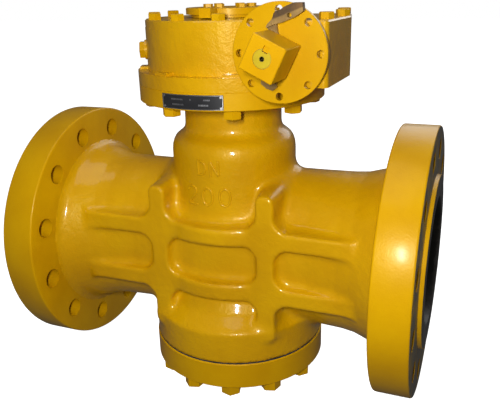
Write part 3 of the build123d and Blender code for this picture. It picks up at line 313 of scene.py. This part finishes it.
def bore_skin():
    """Inside of the flow passage: dark oxide with greasy patches."""
    n = Nodes("bore_skin")
    patch = n.noise(16.0, 6.0, 0.65)
    oxide, brown, grease = (0.010, 0.009, 0.008), (0.032, 0.028, 0.022), (0.09, 0.08, 0.065)
    tone = n.ramp(patch, "Fac", [(0.35, oxide), (0.60, brown), (0.8, grease)])
    n.link(tone, "Color", n.shader, "Base Color")
    n.shader.inputs["Metallic"].default_value = 0.4
    sheen = n.add("ShaderNodeMapRange", To_Min=0.25, To_Max=0.6)
    n.link(patch, "Fac", sheen, "Value")
    n.link(sheen, "Result", n.shader, "Roughness")
    grain = n.noise(140.0, 3.0)
    rough = n.bump(grain, "Fac", 0.5, 0.0012)
    n.link(rough, "Normal", n.shader, "Normal")
    return n.material


WORN_FACE = worn_face()
SERRATED = serrated()
BORE_SKIN = bore_skin()
OWN_FINISH = {"worm_shaft": shaft_metal(), "lock_arm": arm_metal(), "block_key": SMOOTH_PAINT}

BY_SLOT = {
    "casting_paint": CAST_PAINT, "machined_paint": SMOOTH_PAINT, "steel": STEEL, "dark_steel": DARK_STEEL,
    "bronze": BRONZE, "rubber": RUBBER, "graphite": GRAPHITE, "plate": PLATE, "aluminium": ALUMINIUM}


def dress_frame():
    """Gives every CAD piece the finish of its own name, or of its material slot."""
    for part in frame["record"]["subparts"]:
        piece = frame["nodes"][part["node"]]
        piece.data.materials.clear()
        piece.data.materials.append(OWN_FINISH.get(part["node"], BY_SLOT[part["material_slot"]]))


# ---------------------------------------------------------------- cast body, built as a distance field
# The factors just under 1 on a field below keep it close to a true distance.
BORE_R = 0.1016
BARREL_R = 0.1015
NECK_R = 0.0785
BODY_LOW = -0.162
BODY_TOP = 0.246
FLANGE_BACK = 0.268  # from the stem axis to the back of an end flange
# half sections of the outside and of the plug's seat, as (radius, height) about the stem
CAST_PROFILE = (
    (0.0, BODY_LOW), (0.1462, BODY_LOW), (0.1462, -0.1100), (0.139, -0.103), (0.121, -0.088), (0.1085, -0.068),
    (0.1025, -0.045), (BARREL_R, -0.020), (BARREL_R, 0.163), (0.1006, 0.171), (0.0985, 0.178), (0.0950, 0.1840),
    (0.0905, 0.1880), (0.0850, 0.1920), (0.0808, 0.1965), (0.0790, 0.2015), (NECK_R, 0.207), (NECK_R, BODY_TOP),
    (0.0, BODY_TOP))
SEAT_PROFILE = (
    (0.0, -0.170), (0.096, -0.170), (0.096, -0.123), (0.0925, -0.123), (0.0925, -0.115), (0.0725, 0.105),
    (0.042, 0.105), (0.042, 0.122), (0.02505, 0.122), (0.02505, 0.190), (0.036, 0.190), (0.036, 0.250),
    (0.0, 0.250))
# half height and half width of the pipe arms, by distance from the stem
PIPE_STATIONS = (0.0, 0.150, 0.200, 0.222, 0.241, 0.256, 0.268, 0.300)
PIPE_HALF_Y = (0.098, 0.098, 0.107, 0.116, 0.127, 0.1355, 0.1415, 0.150)
PIPE_HALF_Z = (0.131, 0.131, 0.1312, 0.1325, 0.1375, 0.1410, 0.1435, 0.150)
# rib lattice: uprights, bars and the 45 degree gussets between them
UPRIGHT_X = 0.091
UPRIGHT_HALF = 0.014
UPRIGHT_LOW = -0.125
UPRIGHT_TOP_FRONT, UPRIGHT_TOP_BACK = 0.116, 0.098
UPRIGHT_CORNER = 0.010
BAR_Z = 0.0465
BAR_HALF = 0.0135
BAR_X, BAR_HALF_LENGTH = 0.155, 0.071
GUSSET_REACH = 0.0425
RIB_EDGE = 0.004
RIB_MIDDLE_Y, RIB_HALF_DEPTH = 0.0465, 0.0665
DRAFT = 0.10
BAND_R = 0.135
BAND_OFFSET = 0.008
# flow passage: round at the flanges, a tall slot with round corners at the plug
SLOT_HALF_Y, SLOT_HALF_Z, SLOT_CORNER = 0.0450, 0.0850, 0.0300
PASSAGE_END, PASSAGE_TAPER = 0.240, 0.145


def smooth_min(a, b, k):
    """Union of two distance fields with a fillet of about k."""
    h = np.clip(0.5 + 0.5 * (b - a) / k, 0.0, 1.0)
    return b * (1 - h) + a * h - k * h * (1 - h)


def rounded_max(a, b, radius):
    """Intersection of two distance fields with a rounded edge."""
    u, v = np.maximum(a + radius, 0), np.maximum(b + radius, 0)
    return np.minimum(np.maximum(a, b), -radius) + np.sqrt(u * u + v * v)


def polygon_distance(px, pz, points):
    """Signed distance to a closed polygon, negative inside."""
    best = np.full(px.shape, 1e9)
    inside = np.zeros(px.shape, bool)
    count = len(points)
    for i in range(count):
        ax, az = points[i]
        bx, bz = points[(i + 1) % count]
        ex, ez = bx - ax, bz - az
        t = np.clip(((px - ax) * ex + (pz - az) * ez) / (ex * ex + ez * ez), 0, 1)
        best = np.minimum(best, (px - ax - t * ex) ** 2 + (pz - az - t * ez) ** 2)
        crosses = (az > pz) != (bz > pz)
        if ez != 0:
            inside ^= crosses & (px < ax + (pz - az) * ex / ez)
    return np.where(inside, -1, 1) * np.sqrt(best)


def ellipse_distance(y, z, a, b):
    """Near-exact distance to an ellipse of half axes a and b."""
    k0 = np.sqrt((y / a) ** 2 + (z / b) ** 2)
    k1 = np.sqrt((y / a ** 2) ** 2 + (z / b ** 2) ** 2) + 1e-9
    return k0 * (k0 - 1) / k1


def lattice_distance(x, y, z, front):
    """Signed distance to the raised ribs of one quarter. The flanks lean outward with the pattern's draft."""
    row = np.abs(np.abs(z) - BAR_Z)
    top = np.where(front, UPRIGHT_TOP_FRONT, UPRIGHT_TOP_BACK)
    ends = np.maximum(z - top, UPRIGHT_LOW - z)
    upright = rounded_max(np.abs(x - UPRIGHT_X) - UPRIGHT_HALF, ends, UPRIGHT_CORNER)
    bar = np.maximum(row - BAR_HALF, np.abs(x - BAR_X) - BAR_HALF_LENGTH)
    gusset = (np.abs(x - UPRIGHT_X) + row - GUSSET_REACH) * math.sqrt(0.5)
    plan = smooth_min(smooth_min(upright, bar, 0.004), gusset, 0.006)
    plan = plan * 0.99 - DRAFT * np.maximum(RIB_MIDDLE_Y + RIB_HALF_DEPTH - y, 0)
    ribs = rounded_max(plan, np.abs(y - RIB_MIDDLE_Y) - RIB_HALF_DEPTH, RIB_EDGE)
    # convex bands that carry the bars across the barrel
    flank = row - BAR_HALF - DRAFT * np.maximum(0.122 - y, 0)
    band = rounded_max(flank, np.hypot(x, y + BAND_OFFSET) - BAND_R, RIB_EDGE)
    return smooth_min(ribs, np.maximum(band, x - UPRIGHT_X), 0.006)


def passage_distance(x, y, z):
    """Signed distance to the flow passage, which narrows to a slot beside the plug."""
    narrow = np.clip((PASSAGE_END - x) / PASSAGE_TAPER, 0, 1)
    half_y = BORE_R - narrow * (BORE_R - SLOT_HALF_Y)
    half_z = BORE_R - narrow * (BORE_R - SLOT_HALF_Z)
    corner = 0.1014 - narrow * (0.1014 - SLOT_CORNER)
    qy, qz = np.abs(y) - half_y + corner, np.abs(z) - half_z + corner
    inner = np.minimum(np.maximum(qy, qz), 0)
    return np.hypot(np.maximum(qy, 0), np.maximum(qz, 0)) + inner - corner


def cast_distance(p):
    """Signed distance to the body casting, with p relative to the stem axis and folded into one quarter."""
    pipe_fillet, rib_fillet, root_fillet, root_r = 0.020, 0.013, 0.014, 0.154
    x, y, z = np.abs(p[:, 0]), np.abs(p[:, 1]), p[:, 2]
    r = np.hypot(x, y)
    barrel = polygon_distance(r, z, CAST_PROFILE)
    half_y, half_z = (np.interp(x, PIPE_STATIONS, half) for half in (PIPE_HALF_Y, PIPE_HALF_Z))
    pipe = ellipse_distance(y, z, half_y, half_z) * 0.97
    body = smooth_min(barrel, pipe, pipe_fillet)
    body = smooth_min(body, lattice_distance(x, y, z, p[:, 1] <= 0), rib_fillet)
    # fillet against the back of the end flange
    root = np.maximum(FLANGE_BACK + 0.0003 - x, np.hypot(y, z) - root_r)
    body = np.maximum(smooth_min(body, root, root_fillet), x - FLANGE_BACK - 0.0006)
    # machined faces, plug seat and flow passage
    body = np.maximum(body, np.maximum(z - BODY_TOP, BODY_LOW - z))
    seat = polygon_distance(r, z, SEAT_PROFILE)
    return np.maximum(body, -np.minimum(seat, passage_distance(x, y, z) * 0.93))


def surface_net(distance, low, high, step):
    """Quads of the zero surface of a distance function, one vertex per crossed grid cell."""
    axes = [np.arange(lo, hi + step, step) for lo, hi in zip(low, high)]
    shape = tuple(len(a) for a in axes)
    grid = np.stack(np.meshgrid(*axes, indexing="ij"), -1).reshape(-1, 3)
    value = distance(grid).reshape(shape)
    cells = tuple(n - 1 for n in shape)
    total, count = np.zeros(cells + (3,)), np.zeros(cells)
    corner = [(i, j, k) for i in (0, 1) for j in (0, 1) for k in (0, 1)]

    def at_corner(c):
        return value[tuple(slice(o, o + n) for o, n in zip(c, cells))]

    for a in corner:
        for axis in range(3):
            if a[axis]:
                continue
            b = tuple(o + (i == axis) for i, o in enumerate(a))
            va, vb = at_corner(a), at_corner(b)
            crossed = (va < 0) != (vb < 0)
            t = np.where(crossed, va / np.where(crossed, va - vb, 1), 0)
            for i in range(3):
                total[..., i] += np.where(crossed, a[i] + (t if i == axis else 0), 0)
            count += crossed
    used = count > 0
    index = np.full(cells, -1)
    index[used] = np.arange(used.sum())
    where = np.argwhere(used)
    points = (where + total[used] / count[used][:, None]) * step + [a[0] for a in axes]
    quads = []
    for axis in range(3):
        u, v = (axis + 1) % 3, (axis + 2) % 3
        size = [n - 1 for n in shape]
        span = [slice(1, n) for n in size]
        span[axis] = slice(0, size[axis])
        ahead = list(span)
        ahead[axis] = slice(1, size[axis] + 1)
        here, there = value[tuple(span)], value[tuple(ahead)]
        crossed = np.argwhere((here < 0) != (there < 0))
        inward = (here < 0)[tuple(crossed.T)]
        base = crossed + np.array([0 if i == axis else 1 for i in range(3)])
        ring = []
        for du, dv in ((0, 0), (1, 0), (1, 1), (0, 1)):
            at = base.copy()
            at[:, u] -= du
            at[:, v] -= dv
            ring.append(index[tuple(at.T)])
        ring = np.stack(ring, 1)
        ring[~inward] = ring[~inward][:, ::-1]
        quads.append(ring[(ring >= 0).all(1)])
    return points, np.concatenate(quads)


def settle(points, distance, rounds=3):
    """Moves points onto the zero surface along its slope."""
    probe, longest = 0.0004, 0.0015
    for _ in range(rounds):
        value = distance(points)
        slope = np.stack([
            (distance(points + probe * way) - distance(points - probe * way)) / (2 * probe)
            for way in np.eye(3)], 1)
        size = np.maximum((slope ** 2).sum(1), 0.1)
        points = points - np.clip(value / size, -longest, longest)[:, None] * slope
    return points


def mesh_piece(name, points, faces, material, body="valve", smooth=True):
    """A new visible piece from points and faces, riding on a CAD body."""
    mesh = bpy.data.meshes.new(name)
    mesh.from_pydata(points, [], faces)
    mesh.validate()
    if smooth:
        mesh.polygons.foreach_set("use_smooth", [True] * len(mesh.polygons))
    mesh.materials.append(material)
    piece = bpy.data.objects.new(name, mesh)
    bpy.context.scene.collection.objects.link(piece)
    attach(piece, body)
    return piece


def make_cast_body():
    """The casting between the end flanges, with soft cast fillets."""
    step, seat_r, stem_bore_r = 0.0039, 0.0965, 0.070
    half_depth, margin = 0.155, 2 * step
    low = (-FLANGE_BACK - margin, -half_depth, BODY_LOW - margin)
    high = (FLANGE_BACK + margin, half_depth, BODY_TOP + margin)
    points, faces = surface_net(cast_distance, low, high, step)
    points = settle(points, cast_distance) + [STEM_X, 0, 0]
    piece = mesh_piece("cast_body", points.tolist(), faces.tolist(), CAST_PAINT)
    piece.data.materials.append(BORE_SKIN)
    for face in piece.data.polygons:
        x, y, z = face.center[0] - STEM_X, face.center[1], face.center[2]
        toward_bore = face.normal.y * y + face.normal.z * z < 0
        toward_stem = face.normal.x * x + face.normal.y * y < 0
        in_passage = math.hypot(y, z) < BORE_R + 0.0006 and toward_bore
        from_stem = math.hypot(x, y)
        in_seat = from_stem < seat_r and (toward_stem or from_stem < stem_bore_r)
        face.material_index = int(in_passage or in_seat)
    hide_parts("valve_body")


def lathe(profile, sides):
    """Points and quads of a closed (along, radius) profile turned about the bore axis."""
    turn = np.arange(sides) * 2 * math.pi / sides
    along, radius = np.array(profile).T
    across, up = radius[:, None] * np.cos(turn), radius[:, None] * np.sin(turn)
    points = np.stack([np.repeat(along[:, None], sides, 1), across, up], -1)
    count = len(profile)
    quads = [
        (i * sides + j, i * sides + (j + 1) % sides, (i + 1) % count * sides + (j + 1) % sides,
         (i + 1) % count * sides + j)
        for i in range(count) for j in range(sides)]
    return points.reshape(-1, 3), quads


# half section of an end flange, as (distance from its back, radius)
FLANGE_PROFILE = (
    (-0.0005, BORE_R), (-0.0005, 0.2068), (0.0, 0.2083), (0.0008, 0.2094), (0.0020, 0.2099), (0.0030, 0.2100),
    (0.0526, 0.2100), (0.0541, 0.2096), (0.0552, 0.2086), (0.0556, 0.2070), (0.0556, 0.1375), (0.0561, 0.1362),
    (0.0575, 0.1356), (0.0612, 0.1354), (0.0617, 0.1351), (0.0620, 0.1345), (0.0620, 0.1032), (0.0618, 0.1022),
    (0.0608, BORE_R))
# outline of a drilled hole, as (distance from the flange's back, share of the hole's radius)
DRILL_OUTLINE = ((-0.02, 1.0), (0.0, 1.0), (0.0545, 1.0), (0.0566, 1.13), (0.08, 1.13))


def drills(pattern):
    """Points and faces of the solids that cut one flange's bolt holes, straddling the centrelines."""
    sides, count, levels = 40, pattern["count"], len(DRILL_OUTLINE)
    hole_r, circle_r = pattern["hole_r_mm"] / 1000, pattern["pcd_mm"] / 2000
    points, faces = [], []
    for index in range(count):
        angle = math.radians((index + 0.5) * 360 / count)
        middle = (circle_r * math.cos(angle), circle_r * math.sin(angle))
        turns = [2 * math.pi * k / sides for k in range(sides)]
        ring = [(hole_r * math.cos(t), hole_r * math.sin(t)) for t in turns]
        base = len(points)
        for along, grow in DRILL_OUTLINE:
            points += [(along, middle[0] + grow * u, middle[1] + grow * v) for u, v in ring]
        for level in range(levels - 1):
            for k in range(sides):
                a, b = base + level * sides + k, base + level * sides + (k + 1) % sides
                faces.append((a, b, b + sides, a + sides))
        faces.append(tuple(base + k for k in reversed(range(sides))))
        faces.append(tuple(base + (levels - 1) * sides + k for k in range(sides)))
    return points, faces


def flange_finish(face, side):
    """Index of a flange face's finish: paint, worn face, serrated ring or bore."""
    out = (face.center.x - STEM_X) * side - FLANGE_BACK
    radius = math.hypot(face.center.y, face.center.z)
    facing = abs(face.normal.x) > 0.9
    if radius < BORE_R + 0.0009:
        return 3
    if facing and out > FACE_DEPTH - 0.0015:
        return 2
    if facing and out > 0.054 and radius > 0.1365:
        return 1
    return 0


def make_end_flange(name, side, pattern):
    """One end flange with its raised face, turned from a profile and drilled."""
    blank = plain_object(name + "_blank", *lathe(FLANGE_PROFILE, 180))
    drill = plain_object(name + "_drill", *drills(pattern))
    cut = blank.modifiers.new("holes", "BOOLEAN")
    cut.operation, cut.solver, cut.object = "DIFFERENCE", "EXACT", drill
    seen = blank.evaluated_get(bpy.context.evaluated_depsgraph_get())
    mesh = bpy.data.meshes.new_from_object(seen)
    mesh.name = name
    for spare in (blank, drill):
        bpy.data.objects.remove(spare)
    where = np.array([tuple(v.co) for v in mesh.vertices])
    where[:, 0] = STEM_X + side * (FLANGE_BACK + where[:, 0])
    mesh.vertices.foreach_set("co", where.ravel())
    if side < 0:
        mesh.flip_normals()
    mesh.materials.clear()
    for material in (SMOOTH_PAINT, WORN_FACE, SERRATED, BORE_SKIN):
        mesh.materials.append(material)
    for face in mesh.polygons:
        face.material_index = flange_finish(face, side)
        face.use_smooth = True
    piece = bpy.data.objects.new(name, mesh)
    bpy.context.scene.collection.objects.link(piece)
    mesh.set_sharp_from_angle(angle=math.radians(35))
    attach(piece, "valve")


def face_outward(mesh):
    """Turns every face of a closed mesh outward."""
    work = bmesh.new()
    work.from_mesh(mesh)
    bmesh.ops.recalc_face_normals(work, faces=work.faces[:])
    work.to_mesh(mesh)
    work.free()


def plain_object(name, points, faces):
    """An object that only lends its shape to another."""
    mesh = bpy.data.meshes.new(name)
    mesh.from_pydata([tuple(p) for p in points], [], faces)
    face_outward(mesh)
    thing = bpy.data.objects.new(name, mesh)
    bpy.context.scene.collection.objects.link(thing)
    return thing


# ---------------------------------------------------------------- raised cast marks
# strokes in a cell one unit high; an arrow is wider than a letter
LETTER_PITCH, ARROW_WIDTH = 0.98, 1.9
LETTERS = {
    "D": [[(0, 0), (0, 1)],
          [(0, 1), (0.35, 0.98), (0.58, 0.78), (0.62, 0.5), (0.58, 0.22), (0.35, 0.02), (0, 0)]],
    "N": [[(0, 0), (0, 1), (0.62, 0), (0.62, 1)]],
    "2": [[(0, 0.76), (0.06, 0.92), (0.3, 1), (0.54, 0.92), (0.6, 0.74), (0.5, 0.52), (0, 0), (0.62, 0)]],
    "0": [[(0.3, 0), (0.08, 0.12), (0, 0.4), (0, 0.6), (0.08, 0.88), (0.3, 1),
           (0.52, 0.88), (0.6, 0.6), (0.6, 0.4), (0.52, 0.12), (0.3, 0)]],
    "arrow": [[(0, 0.5), (ARROW_WIDTH, 0.5)], [(1.35, 0.92), (ARROW_WIDTH, 0.5), (1.35, 0.08)]],
}
# letters, size, height of their foot and heading about the stem in degrees
MARKS = (("DN", 0.0215, 0.1390, -91.2), ("200", 0.0290, 0.0900, -92.5), (("arrow",), 0.0240, -0.0170, -94.5))


def bead(path, half_width, height):
    """A rounded ridge along a path on the barrel, given as (arc length, height) pairs."""
    spacing = 0.0012
    dense = [np.array(path[0], float)]
    for a, b in zip(path[:-1], path[1:]):
        a, b = np.array(a, float), np.array(b, float)
        steps = max(2, int(np.hypot(*(b - a)) / spacing))
        dense += [a + (b - a) * k / steps for k in range(1, steps + 1)]
    dense = np.array(dense)
    for _ in range(2):
        dense[1:-1] = (dense[:-2] + 2 * dense[1:-1] + dense[2:]) / 4
    along = np.gradient(dense, axis=0)
    along /= np.linalg.norm(along, axis=1)[:, None] + 1e-9
    across = np.stack([-along[:, 1], along[:, 0]], 1)
    sides = 10
    turn = np.arange(sides) * 2 * math.pi / sides
    points, faces = [], []
    # sections as (place on the path, shift past its end, share of the full size)
    caps = [(0, -1, 0.35), (0, -0.7, 0.8)] + [(i, 0, 1.0) for i in range(len(dense))]
    caps += [(-1, 0.7, 0.8), (-1, 1, 0.35)]
    for index, shift, grow in caps:
        middle = dense[index] + along[index] * shift * half_width
        for t in turn:
            s, z = middle + across[index] * math.cos(t) * half_width * grow
            points.append((s, z, math.sin(t) * height * grow))
    rows = len(caps)
    for i in range(rows - 1):
        for j in range(sides):
            a, b = i * sides + j, i * sides + (j + 1) % sides
            faces.append((a, b, b + sides, a + sides))
    faces.append(tuple(reversed(range(sides))))
    faces.append(tuple(range((rows - 1) * sides, rows * sides)))
    return points, faces


def make_cast_marks():
    """Size and flow marks standing up from the barrel: a nominal diameter and an arrow."""
    points, faces = [], []
    for letters, size, low, heading in MARKS:
        wide = sum(ARROW_WIDTH if k == "arrow" else LETTER_PITCH for k in letters)
        gap = 0 if "arrow" in letters else 0.36
        start = -(wide - gap) * size / 2
        for letter in letters:
            for stroke in LETTERS[letter]:
                path = [(start + u * size * LETTER_PITCH, low + v * size) for u, v in stroke]
                more, ridge = bead(path, half_width=0.0020, height=0.0019)
                base = len(points)
                for s, z, lift in more:
                    angle = math.radians(heading) + s / BARREL_R
                    radius = BARREL_R + lift
                    points.append((STEM_X + radius * math.cos(angle), radius * math.sin(angle), z))
                faces += [tuple(base + k for k in face) for face in ridge]
            start += LETTER_PITCH * size
    piece = mesh_piece("cast_marks", points, faces, CAST_PAINT)
    face_outward(piece.data)


def make_plate_marks():
    """Rim and rows of short pale bars on the nameplate, in place of print."""
    rng = np.random.default_rng(7)
    points, faces = [], []

    def patch(from_deg, to_deg, low, high):
        """A thin curved block on the plate."""
        sunk, lift = 0.0002, 0.00035
        steps = max(1, int(abs(to_deg - from_deg) / 0.8))
        base = len(points)
        for k in range(steps + 1):
            angle = math.radians(from_deg + (to_deg - from_deg) * k / steps)
            for radius in (PLATE_FACE_R - sunk, PLATE_FACE_R + lift):
                for z in (low, high):
                    points.append((STEM_X + radius * math.cos(angle), radius * math.sin(angle), z))
        for k in range(steps):
            a = base + 4 * k
            for i, j in ((0, 1), (1, 3), (3, 2), (2, 0)):
                faces.append((a + i, a + j, a + j + 4, a + i + 4))
        faces.append((base, base + 2, base + 3, base + 1))
        last = base + 4 * steps
        faces.append((last, last + 1, last + 3, last + 2))

    # rim: two long sides and two ends
    left, right, low, high = -109.7, -72.3, 0.2484, 0.2686
    rim, rim_deg = 0.0007, 0.3
    patch(left, right, high - rim, high)
    patch(left, right, low, low + rim)
    patch(left, left + rim_deg, low, high)
    patch(right - rim_deg, right, low, high)
    # rows as (height, half bar below and above it, spans in degrees)
    rows = (
        (0.2622, 0.0010, 0.0010, ((-103, -95.5), (-91.0, -90.2), (-83.0, -79.5))),
        (0.2547, 0.0010, 0.0013, ((-102.5, -95.0), (-86.0, -80.5))))
    for z, below, above, spans in rows:
        for start, stop in spans:
            at = start
            while at < stop:
                width = rng.uniform(0.35, 0.75)
                patch(at, min(at + width, stop), z - below, z + above)
                at += width + 0.28
    piece = mesh_piece("nameplate_marks", points, faces, ALUMINIUM, smooth=False)
    face_outward(piece.data)


# ---------------------------------------------------------------- floor and light
def make_floor():
    """Plain pale floor that glows evenly and lends no light to the valve."""
    side, z = 12.0, cad_low.z
    mesh = bpy.data.meshes.new("floor")
    corners = [(-side, -side, z), (side, -side, z), (side, side, z), (-side, side, z)]
    mesh.from_pydata(corners, [], [(0, 1, 2, 3)])
    floor = bpy.data.objects.new("floor", mesh)
    bpy.context.scene.collection.objects.link(floor)
    n = Nodes("floor")
    drift = n.noise(3.0, 2.0)
    tone = n.ramp(drift, "Fac", [(0.3, (0.78, 0.78, 0.78)), (0.7, (0.82, 0.82, 0.82))])
    n.link(tone, "Color", n.shader, "Base Color")
    n.link(tone, "Color", n.shader, "Emission Color")
    n.shader.inputs["Emission Strength"].default_value = 1.3
    n.shader.inputs["Roughness"].default_value = 0.9
    n.shader.inputs["Specular IOR Level"].default_value = 0.1
    floor.visible_diffuse = False
    floor.visible_glossy = False
    mesh.materials.append(n.material)


def area_light(name, place, target, size, height, power):
    """A rectangular soft light aimed at a point."""
    data = bpy.data.lights.new(name, "AREA")
    data.shape = "RECTANGLE"
    data.size = size
    data.size_y = height
    data.energy = power
    light = bpy.data.objects.new(name, data)
    bpy.context.scene.collection.objects.link(light)
    light.location = place
    light.rotation_mode = "QUATERNION"
    light.rotation_quaternion = (Vector(target) - Vector(place)).to_track_quat("-Z", "Y")


def make_light():
    """Dim room, white backdrop, one small hard light by the camera and two large soft ones."""
    world = bpy.data.worlds.new("studio")
    world.use_nodes = True
    tree = world.node_tree
    shown = tree.nodes["Background"]
    shown.inputs["Color"].default_value = (1, 1, 1, 1)
    shown.inputs["Strength"].default_value = 1.0
    room = tree.nodes.new("ShaderNodeBackground")
    room.inputs["Color"].default_value = (1, 1, 1, 1)
    room.inputs["Strength"].default_value = 0.085
    path = tree.nodes.new("ShaderNodeLightPath")
    blend = tree.nodes.new("ShaderNodeMixShader")
    tree.links.new(path.outputs["Is Camera Ray"], blend.inputs[0])
    tree.links.new(room.outputs[0], blend.inputs[1])
    tree.links.new(shown.outputs[0], blend.inputs[2])
    tree.links.new(blend.outputs[0], tree.nodes["World Output"].inputs["Surface"])
    bpy.context.scene.world = world
    middle = (STEM_X, 0, 0.1)
    area_light("flash", (0.66, -0.96, 0.46), middle, 0.05, 0.16, 9.5)
    area_light("soft_top", (0.2, -0.3, 2.4), middle, 1.6, 1.6, 14)
    area_light("soft_back", (0.8, 2.0, 1.3), middle, 1.5, 1.5, 14)


make_camera()
dress_frame()
make_cast_body()
make_end_flange("inlet_flange", -1, PATTERNS["inlet_bolts"])
make_end_flange("outlet_flange", 1, PATTERNS["outlet_bolts"])
make_cast_marks()
make_plate_marks()
make_floor()
make_light()
bpy.context.scene.view_settings.view_transform = "Standard"
